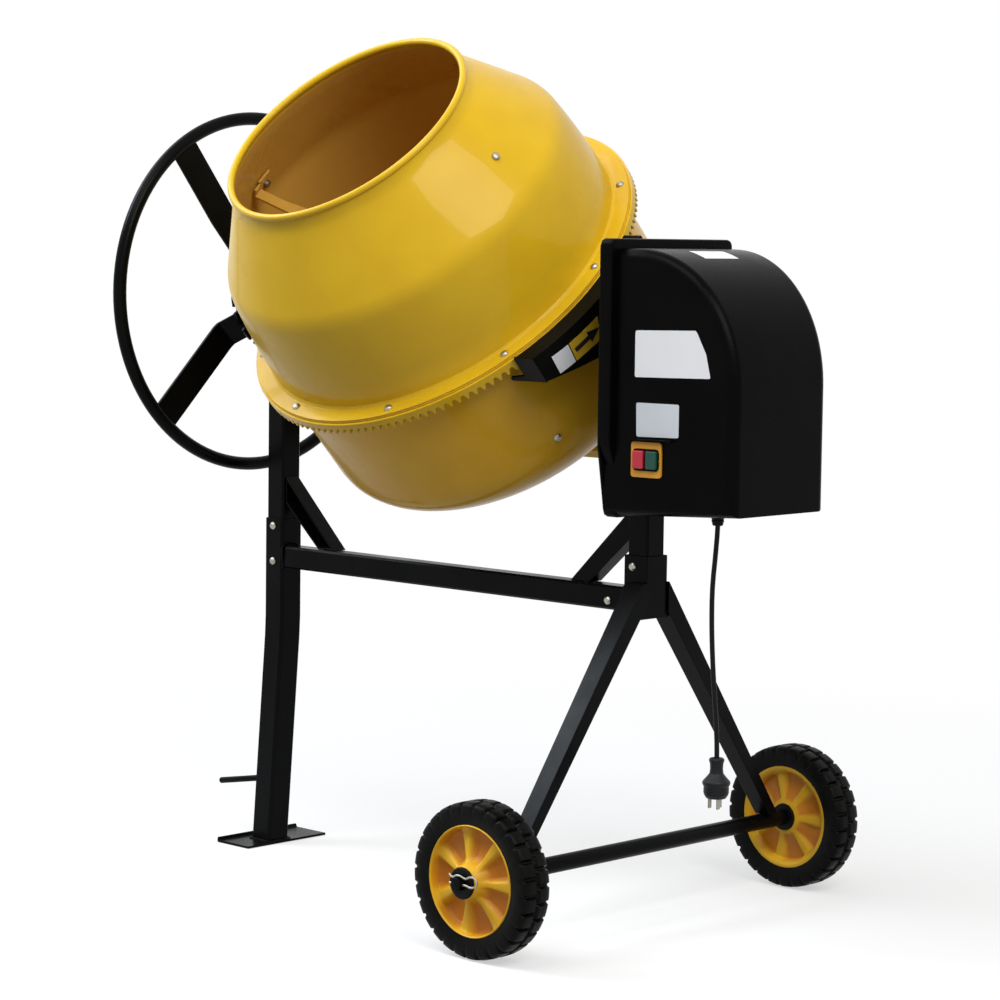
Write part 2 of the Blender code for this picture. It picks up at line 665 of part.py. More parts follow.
# ---------------------------------------------------------------- drum
UPPER_OUT = [(0.2900, 0.0497), (0.2900, 0.0518), (0.2695, 0.0518), (0.2665, 0.0550), (0.2655, 0.1000),
             (0.2607, 0.1500), (0.2560, 0.1820), (0.2505, 0.1960), (0.2430, 0.2075), (0.1885, 0.2860),
             (0.1836, 0.2935), (0.1814, 0.2990)]
UPPER_IN = [(0.1776, 0.3030), (0.1792, 0.2985), (0.1866, 0.2852), (0.2412, 0.2065), (0.2538, 0.1815),
            (0.2635, 0.0998), (0.2640, 0.0497)]
LOWER = [(0.0, -0.2512), (0.0500, -0.2500), (0.0900, -0.2460), (0.1300, -0.2380), (0.1650, -0.2240),
         (0.1900, -0.2090), (0.2130, -0.1940), (0.2330, -0.1800), (0.2500, -0.1640), (0.2600, -0.1500),
         (0.2660, -0.1360), (0.2680, -0.1200), (0.2680, 0.0440), (0.2683, 0.0473), (0.2905, 0.0473),
         (0.2905, 0.0494), (0.2660, 0.0494), (0.2660, -0.1195), (0.2575, -0.1495), (0.2315, -0.1780),
         (0.1889, -0.2067), (0.1288, -0.2356), (0.0497, -0.2480), (0.0, -0.2492)]


def drum_point(r, azimuth, h):
    return DRUM @ Vector((r * math.cos(azimuth), r * math.sin(azimuth), h))


def build_drum():
    bead = [(0.1765 + 0.005 * math.cos(math.radians(t)), 0.3105 + 0.005 * math.sin(math.radians(t)))
            for t in range(-46, 230, 46)]
    upper = turn("drum_upper", UPPER_OUT + bead + UPPER_IN, 42, YELLOW, frame=DRUM, origin=TILT,
                 roughness=0.25)
    lower = turn("drum_lower", LOWER, 42, YELLOW, frame=DRUM, closed=False, origin=TILT, roughness=0.25)

    # two mixing blades inside, each held by a bolt through either shell
    for label, start, top_a, top_h in (("a", 0.0, 4.75, 0.240), ("b", PI, 1.5, 0.223)):
        build_blade(label, start, math.radians(top_a), top_h, upper, lower)

    # dome heads of the bolts that clamp the flange
    heads = []
    for i in range(FLANGE_BOLTS):
        a = FLANGE_BOLT_PHASE + 2 * PI * i / FLANGE_BOLTS
        frame = Matrix.Translation(drum_point(FLANGE_BOLT_R, a, 0)) @ DRUM.to_3x3().to_4x4()
        heads.append(turn("head", [(0, 0.0508), (0.0056, 0.0508), (0.0056, 0.0528), (0.0036, 0.0552),
                                   (0, 0.0556)], 8, YELLOW, frame=frame, closed=False))
    fuse(upper, *heads)

    # ring gear: a flat band with teeth pointing away from the mouth
    r0, r1 = RING_R
    top, root, tip = 0.0470, 0.0380, 0.0300
    verts, faces = [], []
    pitch = 2 * PI / RING_TEETH
    wide = 0.0035 / 0.2835
    for i in range(RING_TEETH):
        mid = (i + 0.5) * pitch
        for off, h in ((-wide, root), (0.0, tip), (wide, root)):
            a = mid + off
            verts += [drum_point(r0, a, h), drum_point(r1, a, h)]
        verts += [drum_point(r0, i * pitch, top), drum_point(r1, i * pitch, top)]
    count = 8 * RING_TEETH
    for i in range(RING_TEETH):
        a = 8 * i
        b = (a + 8) % count
        low = [a, a + 2, a + 4, b]
        for p, q in zip(low, low[1:]):
            faces.append((p, p + 1, q + 1, q))
        faces.append((a + 6, a + 7, b + 7, b + 6))
        faces.append((a, a + 2, a + 4, b, b + 6, a + 6))
        faces.append((a + 1, a + 3, a + 5, b + 1, b + 7, a + 7))
    add("ring_gear", verts, faces, YELLOW, origin=TILT)

    profile = [(0, -0.2515), (0.0450, -0.2515), (0.0450, -0.2555), (0.0125, -0.2555),
               (0.0125, -0.2990), (0.0115, -0.3000), (0, -0.3000)]
    turn("drum_shaft", profile[::-1], 24, STEEL, frame=DRUM, closed=False, origin=TILT, metallic=1.0)


def wall_radius(h):
    """Inner radius of the drum at a height along its axis."""
    pts = sorted([(z, r) for r, z in UPPER_IN] + [(z, r) for r, z in LOWER[16:-1]])
    for (h0, q0), (h1, q1) in zip(pts, pts[1:]):
        if h0 <= h <= h1:
            return q0 + (q1 - q0) * (h - h0) / (h1 - h0 + 1e-9)
    return pts[0][1]


def build_blade(label, start, top_a, top_h, upper, lower):
    """A bent mixing blade: bolted near the mouth and near the bottom, and standing far off the wall
    between the two. Rows run (radius, azimuth, height, width, twist from flat to edge-on)."""
    low_h, low_a = -0.1080, math.radians(-33)
    wall_low = wall_radius(low_h)
    first, last = math.degrees(top_a), -33.0
    rows = [(wall_radius(top_h + 0.006) - 0.0062, first + 5.2, top_h + 0.006, 0.014, 0),
            (wall_radius(top_h - 0.004) - 0.0062, first + 5.2, top_h - 0.004, 0.016, 0),
            (0.1990, first + 5.0, top_h - 0.030, 0.018, 15),
            (0.1740, first + 1.0, 0.1550, 0.040, 42),
            (0.1600, first - 6.0, 0.0950, 0.052, 62),
            (0.1700, first - 14.0, 0.0400, 0.056, 66),
            (0.1950, first - 21.0, -0.0150, 0.052, 55),
            (0.2260, last + 4.0, -0.0600, 0.040, 30),
            (wall_low - 0.0055, last, low_h + 0.012, 0.026, 0),
            (wall_low - 0.0055, last, low_h - 0.012, 0.024, 0)]
    turn3 = DRUM.to_3x3()
    centres = [drum_point(r, start + math.radians(az), h) for r, az, h, _, _ in rows]
    loops = []
    for i, (r, az, h, width, twist) in enumerate(rows):
        a = start + math.radians(az)
        radial = turn3 @ Vector((math.cos(a), math.sin(a), 0))
        tangent = turn3 @ Vector((-math.sin(a), math.cos(a), 0))
        t = math.radians(twist)
        across = tangent * math.cos(t) - radial * math.sin(t)
        ahead = centres[min(i + 1, len(rows) - 1)] - centres[max(i - 1, 0)]
        thick = across.cross(ahead).normalized() * 0.0018
        w = across * width / 2
        c = centres[i]
        loops.append([c - w - thick, c + w - thick, c + w + thick, c - w + thick])
    blade = solid("blade_" + label, loops, YELLOW, origin=TILT)

    for tag, h, a, normal in (("upper", top_h, start + top_a, (0.819, 0.574)),
                              ("lower", low_h, start + low_a, (1.0, 0.0))):
        out = (turn3 @ Vector((math.cos(a) * normal[0], math.sin(a) * normal[0], normal[1]))).normalized()
        side = (turn3 @ Vector((-math.sin(a), math.cos(a), 0))).normalized()
        along = out.cross(side).normalized()
        wall = drum_point(wall_radius(h), a, h)
        near, far = 0.0020, 0.0056
        tab = []
        for d in (near, far):
            p = wall - out * d
            tab.append([p + side * sx * 0.013 + along * sz * 0.014 for sx, sz in
                        ((-1, -1), (1, -1), (1, 1), (-1, 1))])
        fuse(blade, solid("tab", tab, YELLOW))
        axis = out.to_track_quat("Z", "Y").to_matrix().to_4x4()
        frame = Matrix.Translation(wall) @ axis
        shell = upper if tag == "upper" else lower
        for obj in (shell, blade):
            carve(obj, rod("cut", wall - out * 0.012, wall + out * 0.008, 0.0033, YELLOW, 16))
        top = SHELL_T + GAP * 2
        low = -far - GAP
        profile = [(0, low - 0.0055), (0.0055, low - 0.0055), (0.0055, low), (0.0030, low),
                   (0.0030, top), (0.0056, top), (0.0056, top + 0.0012), (0.0042, top + 0.0030),
                   (0, top + 0.0040)]
        turn("blade_bolt_%s_%s" % (label, tag), profile, 10, ZINC, frame=frame, closed=False,
             origin=TILT, metallic=1.0, roughness=0.3)
        # relief in the blade around the nut
        carve(blade, rod("cut", wall - out * 0.0150, wall - out * (far + 0.00001), 0.0068, YELLOW, 16))


# ---------------------------------------------------------------- pinion, belt drive, motor
def build_drive():
    along_x = Matrix.Translation(TILT) @ Matrix.Rotation(PI / 2, 4, "Y")
    up = DRUM.to_3x3() @ Z
    back = DRUM.to_3x3() @ Y
    pts = []
    for i in range(PINION_TEETH):
        mid = 2 * PI * i / PINION_TEETH
        for off, r in ((-6.5, 0.0298), (-2.5, 0.0377), (2.5, 0.0377), (6.5, 0.0298)):
            a = mid + math.radians(off)
            pts.append(up * r * math.cos(a) + back * r * math.sin(a))
    loops = [[TILT + X * x + p for p in pts] for x in (0.2725, 0.2935)]
    pinion = solid("pinion", loops, STEEL, origin=TILT, metallic=1.0)
    carve(pinion, rod("cut", (0.26, 0, TILT_Z), (0.31, 0, TILT_Z), 0.0073, STEEL, 20))
    turn("pinion_shaft", [(0, 0.2710), (0.0070, 0.2710), (0.0070, 0.4560), (0, 0.4560)], 20, STEEL,
         frame=along_x, closed=False, origin=TILT, metallic=1.0)

    x0, x1 = BELT_X
    turn("driven_pulley", [(0.0073, x0 - 0.004), (0.0180, x0 - 0.004), (0.0180, x0 - 0.0025),
                           (0.0585, x0 - 0.0025), (0.0585, x0 - 0.0006), (0.0545, x0 - 0.0006),
                           (0.0545, x1 + 0.0006), (0.0585, x1 + 0.0006), (0.0585, x1 + 0.0025),
                           (0.0073, x1 + 0.0025)], 24, STEEL, frame=along_x, origin=TILT, metallic=1.0)
    motor = Vector((0, 0, MOTOR_Z))
    motor_x = Matrix.Translation(motor) @ Matrix.Rotation(PI / 2, 4, "Y")
    turn("drive_pulley", [(0.0063, x0 - 0.0025), (0.0150, x0 - 0.0025), (0.0150, x0 - 0.0006),
                          (0.0110, x0 - 0.0006), (0.0110, x1 + 0.0006), (0.0150, x1 + 0.0006),
                          (0.0150, x1 + 0.0025), (0.0063, x1 + 0.0025)], 18, STEEL, frame=motor_x,
         origin=motor, metallic=1.0)
    turn("motor_shaft", [(0, 0.4290), (0.0060, 0.4290), (0.0060, 0.4700), (0, 0.4700)], 16, STEEL,
         frame=motor_x, closed=False, origin=motor, metallic=1.0)

    # belt: two arcs and the straight runs between them
    gap = TILT_Z - MOTOR_Z

    def loop(big, small):
        lean = math.asin((big - small) / gap)
        out = []
        for i in range(21):
            a = -lean + (PI + 2 * lean) * i / 20
            out.append((big * math.cos(a), TILT_Z + big * math.sin(a)))
        for i in range(9):
            a = PI + lean + (PI - 2 * lean) * i / 8
            out.append((small * math.cos(a), MOTOR_Z + small * math.sin(a)))
        return out

    outer, inner = loop(0.0588, 0.0153), loop(0.0548, 0.0113)
    pipe("belt", [[Vector((x, y, z)) for y, z in outer] for x in (x0, x1)],
         [[Vector((x, y, z)) for y, z in inner] for x in (x0, x1)], RUBBER, roughness=0.8)

    body = turn("motor", [(0, 0.4560), (0.0300, 0.4560), (0.0320, 0.4600), (0.0520, 0.4600),
                          (0.0540, 0.4640), (0.0540, 0.5480), (0.0480, 0.5560), (0, 0.5560)],
                20, STEEL, frame=motor_x, closed=False, metallic=0.6)
    plate = box("plate", (0.4525, -0.0650, MOTOR_Z - 0.060), (0.4565, 0.0650, MOTOR_Z + 0.060), STEEL)
    pillars = [rod("pillar", (HOUSE_X[0], sy * 0.055, MOTOR_Z + sz * 0.050),
                   (0.4540, sy * 0.055, MOTOR_Z + sz * 0.050), 0.005, STEEL, 12)
               for sy in (-1, 1) for sz in (-1, 1)]
    fuse(body, plate, *pillars)
    carve(body, rod("cut", (0.44, 0, MOTOR_Z), (0.4730, 0, MOTOR_Z), 0.0066, STEEL, 16))


# ---------------------------------------------------------------- housing and controls
def front_frame(x, z):
    """A frame on the housing's front face: X along the face, Y into the housing, Z up."""
    lean = math.atan2(0.016, 0.183)
    y = -0.108 + (x - 0.394) * math.tan(lean)
    return Matrix.Translation((x, y, z)) @ Matrix.Rotation(lean, 4, "Z")


def build_housing():
    x_open, x_rim, x_end = HOUSE_X

    def section(x, half_y, z0, z1, r, tuck=0.0):
        """One upright section; the rim's lower corners tuck in below a set height."""
        cz, hz = (z0 + z1) / 2, (z1 - z0) / 2
        pts = rounded(0, cz, half_y, hz, r, 2)
        pts = pts[:6] + [(-half_y, 0.632)] + pts[6:] + [(half_y, 0.632)]
        return [Vector((x, a * (1 - tuck / half_y) if b < 0.60 else a, b)) for a, b in pts]

    def half_width(x):
        return 0.108 - (x - 0.394) * 0.016 / 0.183

    def roof(x):
        if x <= 0.420:
            return HOUSE_TOP
        return 0.711 + (HOUSE_TOP - 0.711) * math.sqrt(max(0.0, 1 - ((x - 0.420) / 0.157) ** 2))

    def floor(x):
        return 0.5440 + (x - 0.394) * 0.045

    stations = [x_rim, 0.420, 0.445, 0.470, 0.492, 0.512, 0.530, 0.545, 0.557, 0.566, 0.572, 0.5755]
    tuck = 0.0125
    outer = [section(x_open, HOUSE_RIM_Y, *HOUSE_RIM_Z, 0.010, tuck),
             section(x_rim - 0.003, HOUSE_RIM_Y, *HOUSE_RIM_Z, 0.010, tuck),
             section(x_rim, HOUSE_RIM_Y - 0.003, HOUSE_RIM_Z[0] + 0.0025, HOUSE_RIM_Z[1] - 0.003, 0.009,
                     tuck - 0.003)]
    outer += [section(x + (0.0005 if x == x_rim else 0), half_width(x), floor(x), roof(x), 0.012)
              for x in stations]
    outer.append(section(x_end, half_width(x_end) - 0.0015, floor(x_end) + 0.0015, 0.7060, 0.007))
    wall = 0.003
    inner = [section(x_open, HOUSE_RIM_Y - wall - 0.008, HOUSE_RIM_Z[0] + 0.006, HOUSE_TOP - wall, 0.010,
                     0.004)]
    inner += [section(x, half_width(x) - wall, floor(x) + wall, roof(x + 0.002) - wall - 0.001, 0.010)
              for x in stations[:-2]]
    inner.append(section(x_end - wall - 0.001, half_width(x_end) - wall - 0.003, floor(x_end) + 0.006, 0.695,
                         0.009))
    housing = cup("motor_housing", outer, inner, PLASTIC, roughness=0.6)

    spot = front_frame(0.4455, 0.6185)
    window = [(-0.0200, -0.0190), (0.0200, -0.0190), (0.0200, 0.0190), (-0.0200, 0.0190)]
    carve(housing, prism("cut", window, -0.02, 0.02, PLASTIC, axis="Y", frame=spot),
          rod("cut", (0.5140, -0.0450, 0.53), (0.5140, -0.0450, 0.57), 0.0072, PLASTIC, 20))

    back = section(0.0, HOUSE_RIM_Y, *HOUSE_RIM_Z, 0.010, tuck)
    plate = solid("housing_back", [[p + X * x for p in back] for x in (0.3738, 0.3768)], BLACK)
    carve(plate, rod("cut", (0.36, 0, TILT_Z), (0.39, 0, TILT_Z), 0.0130, BLACK, 16))

    # switch: face plate, body through the wall, and two pockets for the buttons
    face = [(x, z) for x, z in rounded(0, 0, 0.0235, 0.0225, 0.004)]
    switch = prism("switch_box", face, -0.0033, -GAP, ORANGE, axis="Y", frame=spot)
    body = [(-0.0196, -0.0186), (0.0196, -0.0186), (0.0196, 0.0186), (-0.0196, 0.0186)]
    fuse(switch, prism("body", body, -0.0010, 0.0280, ORANGE, axis="Y", frame=spot))
    for x, half in ((-0.0100, 0.0086), (0.0102, 0.0086)):
        pocket = rounded(x, 0.0, half, 0.0118, 0.0020)
        carve(switch, prism("cut", pocket, -0.01, 0.0160, ORANGE, axis="Y", frame=spot))
    for name, x, colour in (("stop_button", -0.0100, (0.70, 0.02, 0.04)),
                            ("start_button", 0.0102, (0.01, 0.14, 0.09))):
        cap = rounded(x, 0.0, 0.0082, 0.0114, 0.0020)
        prism(name, cap, -0.0085, 0.0105, colour, axis="Y", frame=spot,
              origin=spot @ Vector((x, 0, 0)))
    hood = [(-0.0240, 0.0243), (0.0400, 0.0243), (0.0400, 0.0262), (-0.0240, 0.0262)]
    prism("switch_hood", hood, -0.0080, -GAP, PLASTIC, axis="Y", frame=spot)

    # cable gland, cord and plug
    gx, gy = 0.5140, -0.0450
    bottom = floor(gx)
    frame = Matrix.Translation((gx, gy, bottom))
    turn("cable_gland", [(0.0037, 0.0100), (0.0069, 0.0100), (0.0069, -GAP), (0.0082, -GAP - 0.0002),
                         (0.0082, -0.0090), (0.0066, -0.0125), (0.0037, -0.0125)], 20, PLASTIC,
         frame=frame)
    build_cord((gx, gy), bottom)


CORD_ROUTE = [(0.0000, 0.0000, 0.0060), (0.0000, 0.0000, -0.0160), (-0.0025, 0.0, -0.0480),
              (-0.0065, 0.0, -0.0900), (-0.0068, 0.0, -0.1330), (-0.0045, 0.0, -0.1780),
              (-0.0005, 0.0, -0.2230), (0.0035, 0.0, -0.2620), (0.0056, 0.0, -0.2920),
              (0.0058, 0.0, -0.3177)]


def build_cord(top, bottom):
    gx, gy = top
    route = smooth_route([(gx + a, gy + b, bottom + c) for a, b, c in CORD_ROUTE], 0.016)
    curve = bpy.data.curves.new("cord", "CURVE")
    curve.dimensions = "3D"
    spline = curve.splines.new("POLY")
    spline.points.add(len(route) - 1)
    for point, place in zip(spline.points, route):
        point.co = (*place, 1.0)
    curve.bevel_depth = 0.0032
    curve.bevel_resolution = 3
    curve.use_fill_caps = True
    cord = bpy.data.objects.new("cord", curve)
    bpy.context.scene.collection.objects.link(cord)
    curve.materials.append(material("cord", PLASTIC, 0.55))

    end = route[-1]
    frame = Matrix.Translation(end)
    g = 0.0038
    plug = turn("plug", [(g, 0.0100), (0.0086, 0.0100), (0.0099, 0.0080), (0.0097, 0.0052),
                         (0.0085, 0.0025), (0.0082, -0.0040), (0.0088, -0.0097), (0.0140, -0.0162),
                         (0.0178, -0.0202), (0.0181, -0.0226), (0.0161, -0.0264), (0.0157, -0.0368),
                         (0.0122, -0.0420), (0.0030, -0.0430), (0.0030, -0.0060), (g, -0.0060)], 18,
                PLASTIC, frame=frame)
    fill = turn("fill", [(0, -0.0428), (0.0060, -0.0428), (0.0060, -0.0065), (0, -0.0065)], 12, PLASTIC,
                frame=frame, closed=False)
    pins = []
    for angle, swing in ((90, 0), (210, 60), (330, -60)):
        a = math.radians(angle)
        centre = Vector((0.0080 * math.cos(a), 0.0080 * math.sin(a), 0))
        flat = Matrix.Rotation(math.radians(angle + 180 + swing), 4, "Z")
        corners = [Vector(p) for p in ((-0.0029, -0.0008, 0), (0.0029, -0.0008, 0), (0.0029, 0.0008, 0),
                                       (-0.0029, 0.0008, 0))]
        pins.append(solid("pin", [[frame @ (centre + flat @ p + Z * z) for p in corners]
                                  for z in (-0.0550, -0.0410)], ZINC))
    fuse(plug, fill, *pins)


# ---------------------------------------------------------------- pinion guard on the yoke
def build_guard():
    """Cover over the mesh: a flat top strip, a curved wall, and an end plate with a lip at each end."""
    r_in, r_wall = 0.2968, 0.3255
    ends = (-0.1550, 0.0760)              # planes that close the two ends, along the drum's back axis

    def at(r, v, h):
        return DRUM @ Vector((math.sqrt(r * r - v * v), v, h))

    def bottom(v):
        return 0.010 - 0.052 * (1 - min(math.degrees(math.asin(abs(v) / r_wall)), 29.0) / 29.0)

    loops = []
    steps = 14
    for i in range(steps + 1):
        v = ends[0] + (ends[1] - ends[0]) * i / steps
        section = [(r_in, 0.0495), (r_wall, 0.0495), (r_wall, bottom(v)), (r_wall - 0.003, bottom(v)),
                   (r_wall - 0.003, 0.0465), (r_in, 0.0465)]
        loops.append([at(r, v, h) for r, h in section])
    guard = solid("pinion_guard", loops, PLASTIC, origin=TILT, roughness=0.55)
    shapes = ([(0.2526, 0.0499), (0.2868, 0.0499), (0.2868, 0.0086), (0.2245, 0.0086), (0.2245, 0.0132),
               (0.2526, 0.0178)],
              [(0.2868, 0.0499), (0.3171, 0.0499), (0.3171, -0.0195), (0.2660, -0.0195), (0.2660, 0.0160),
               (0.2868, 0.0160)])
    for v, shape in zip(ends, shapes):
        plate = [[DRUM @ Vector((x, w, h)) for x, h in shape] for w in (v - 0.0021, v + 0.0021)]
        fuse(guard, solid("end", plate, PLASTIC))
    carve(guard, rod("cut", (0.29, 0, TILT_Z), (0.36, 0, TILT_Z), 0.0128, PLASTIC, 16))


def centre_footprint():
    """Moves the whole machine so the middle of its footprint is at the world origin."""
    for obj in bpy.data.objects:
        obj.location.x += SHIFT_X
        obj.location.y += SHIFT_Y


def main():
    for obj in list(bpy.data.objects):
        bpy.data.objects.remove(obj)
    build_left_side()
    build_right_side()
    build_axle()
    for label, side in (("front", -1), ("rear", 1)):
        build_wheel(label, side)
    build_yoke()
    build_hand_wheel()
    build_drum()
    build_drive()
    build_housing()
    build_guard()
    centre_footprint()


main()
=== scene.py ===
"""Looks of a tilting-drum concrete mixer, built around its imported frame.

Metres, +Z up. X runs along the tilt axis, from the hand wheel at -X to the drive housing at +X, and
the drum mouth leans towards -Y. Each sub-assembly is a class that builds and dresses its own pieces.
"""

import json
import logging
import math
from dataclasses import dataclass, replace
from enum import Enum
from typing import Callable, Iterable, Sequence

import bmesh
import bpy
from mathutils import Matrix, Vector


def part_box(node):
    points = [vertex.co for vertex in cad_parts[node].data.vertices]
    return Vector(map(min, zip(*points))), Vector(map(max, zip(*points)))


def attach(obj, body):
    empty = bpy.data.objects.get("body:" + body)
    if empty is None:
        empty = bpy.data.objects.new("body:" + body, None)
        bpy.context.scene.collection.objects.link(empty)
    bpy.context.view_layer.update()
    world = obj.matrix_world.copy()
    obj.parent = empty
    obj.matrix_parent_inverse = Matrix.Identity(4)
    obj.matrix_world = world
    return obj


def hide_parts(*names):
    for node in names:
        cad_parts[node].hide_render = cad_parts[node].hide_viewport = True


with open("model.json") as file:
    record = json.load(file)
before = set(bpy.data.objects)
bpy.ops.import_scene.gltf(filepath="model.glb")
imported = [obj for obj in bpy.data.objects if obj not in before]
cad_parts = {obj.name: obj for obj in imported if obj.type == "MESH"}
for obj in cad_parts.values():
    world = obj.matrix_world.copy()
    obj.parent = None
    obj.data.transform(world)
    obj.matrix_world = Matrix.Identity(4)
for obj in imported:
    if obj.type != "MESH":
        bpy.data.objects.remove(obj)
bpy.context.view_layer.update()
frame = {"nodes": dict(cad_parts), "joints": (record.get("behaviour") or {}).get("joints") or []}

LOG = logging.getLogger("mixer")
TAU = 2 * math.pi
Point = Sequence[float]
Loop = list[Vector]
Colour = Point | bpy.types.NodeSocket


class Body(str, Enum):
    """The rigid bodies that pieces ride on."""

    FRAME = "frame"
    YOKE = "tilting_yoke"
    DRUM = "drum"
    PINION = "pinion_drive"
    ROTOR = "motor_rotor"
    FRONT_WHEEL = "front_wheel"
    REAR_WHEEL = "rear_wheel"
    STOP = "stop_push"
    START = "start_push"


def joint(name: str) -> dict:
    """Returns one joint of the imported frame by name."""
    return next(j for j in frame["joints"] if j["name"] == name)


TILT_AT = Vector(joint("tilt")["pos_m"])
DRUM_UP = Vector(joint("drum_spin")["axis"]).normalized()
DRUM_BACK = DRUM_UP.cross(Vector((1, 0, 0))).normalized()
DRUM = Matrix.Translation(TILT_AT) @ Matrix((Vector((1, 0, 0)), DRUM_BACK, DRUM_UP)).transposed().to_4x4()
ALONG_X = Matrix.Rotation(math.pi / 2, 4, "Y")
TILT = Matrix.Translation(TILT_AT) @ ALONG_X


# ---------------------------------------------------------------- shared shader groups
def added(tree: bpy.types.NodeTree, *kinds: str) -> list[bpy.types.Node]:
    """Adds one shader node of each kind to a tree and returns them."""
    return [tree.nodes.new("ShaderNode" + kind) for kind in kinds]


def wired(tree: bpy.types.NodeTree, *pairs: tuple[bpy.types.NodeSocket, bpy.types.NodeSocket]) -> None:
    """Links pairs of sockets, each an output and the input that it feeds."""
    for start, end in pairs:
        tree.links.new(start, end)


class Effects:
    """Shader groups that several finishes place with their own values."""

    SPECK_GATHER = 9.0  # scale of the noise that gathers specks in groups
    FULLY_WORN = 0.75  # pointiness at which an edge is fully worn

    @staticmethod
    def _group(name: str, inputs: dict[str, float], output: str) -> tuple:
        """Starts a node group.

        Args:
            name: name of the group.
            inputs: value sockets and their defaults.
            output: name of the value socket it puts out.

        Returns:
            The group, the sockets of its inputs and the socket of its output.
        """
        group = bpy.data.node_groups.new(name, "ShaderNodeTree")
        for label, value in inputs.items():
            socket = group.interface.new_socket(label, in_out="INPUT", socket_type="NodeSocketFloat")
            socket.default_value = value
        group.interface.new_socket(output, in_out="OUTPUT", socket_type="NodeSocketFloat")
        start, end = group.nodes.new("NodeGroupInput"), group.nodes.new("NodeGroupOutput")
        return group, start.outputs, end.inputs[output]

    @classmethod
    def grain(cls) -> bpy.types.NodeTree:
        """Makes, once, an even noise in object space, as a value from 0 to 1.

        Returns:
            The group.
        """
        if "grain" in bpy.data.node_groups:
            return bpy.data.node_groups["grain"]
        group, given, out = cls._group("grain", {"Scale": 50.0, "Detail": 3.0, "Low": 0.3, "High": 0.7},
                                       "Value")
        coord, noise, remap = added(group, "TexCoord", "TexNoise", "MapRange")
        wired(group, (coord.outputs["Object"], noise.inputs["Vector"]),
              (given["Scale"], noise.inputs["Scale"]), (given["Detail"], noise.inputs["Detail"]),
              (noise.outputs["Fac"], remap.inputs["Value"]), (given["Low"], remap.inputs["From Min"]),
              (given["High"], remap.inputs["From Max"]), (remap.outputs["Result"], out))
        return group

    @classmethod
    def specks(cls) -> bpy.types.NodeTree:
        """Makes, once, small scattered dots, as a mask.

        Returns:
            The group.
        """
        if "specks" in bpy.data.node_groups:
            return bpy.data.node_groups["specks"]
        group, given, out = cls._group("specks", {"Scale": 300.0, "Size": 0.12, "Share": 0.5}, "Mask")
        coord, cells, patch = added(group, "TexCoord", "TexVoronoi", "TexNoise")
        dot, some, both = added(group, "Math", "Math", "Math")
        patch.inputs["Scale"].default_value = cls.SPECK_GATHER
        dot.operation, some.operation, both.operation = "LESS_THAN", "GREATER_THAN", "MULTIPLY"
        wired(group, (coord.outputs["Object"], cells.inputs["Vector"]),
              (coord.outputs["Object"], patch.inputs["Vector"]),
              (given["Scale"], cells.inputs["Scale"]), (cells.outputs["Distance"], dot.inputs[0]),
              (given["Size"], dot.inputs[1]), (patch.outputs["Fac"], some.inputs[0]),
              (given["Share"], some.inputs[1]), (dot.outputs[0], both.inputs[0]),
              (some.outputs[0], both.inputs[1]), (both.outputs[0], out))
        return group

    @classmethod
    def edge_wear(cls) -> bpy.types.NodeTree:
        """Makes, once, a broken mask along outer edges.

        Returns:
            The group.
        """
        if "edge_wear" in bpy.data.node_groups:
            return bpy.data.node_groups["edge_wear"]
        group, given, out = cls._group("edge_wear", {"Threshold": 0.56, "Scale": 60.0, "Strength": 0.5},
                                       "Mask")
        geometry, coord, noise = added(group, "NewGeometry", "TexCoord", "TexNoise")
        ramp, times, scale = added(group, "MapRange", "Math", "Math")
        times.operation = scale.operation = "MULTIPLY"
        ramp.inputs["From Max"].default_value = cls.FULLY_WORN
        wired(group, (coord.outputs["Object"], noise.inputs["Vector"]),
              (given["Scale"], noise.inputs["Scale"]),
              (geometry.outputs["Pointiness"], ramp.inputs["Value"]),
              (given["Threshold"], ramp.inputs["From Min"]), (ramp.outputs["Result"], times.inputs[0]),
              (noise.outputs["Fac"], times.inputs[1]), (times.outputs[0], scale.inputs[0]),
              (given["Strength"], scale.inputs[1]), (scale.outputs[0], out))
        return group


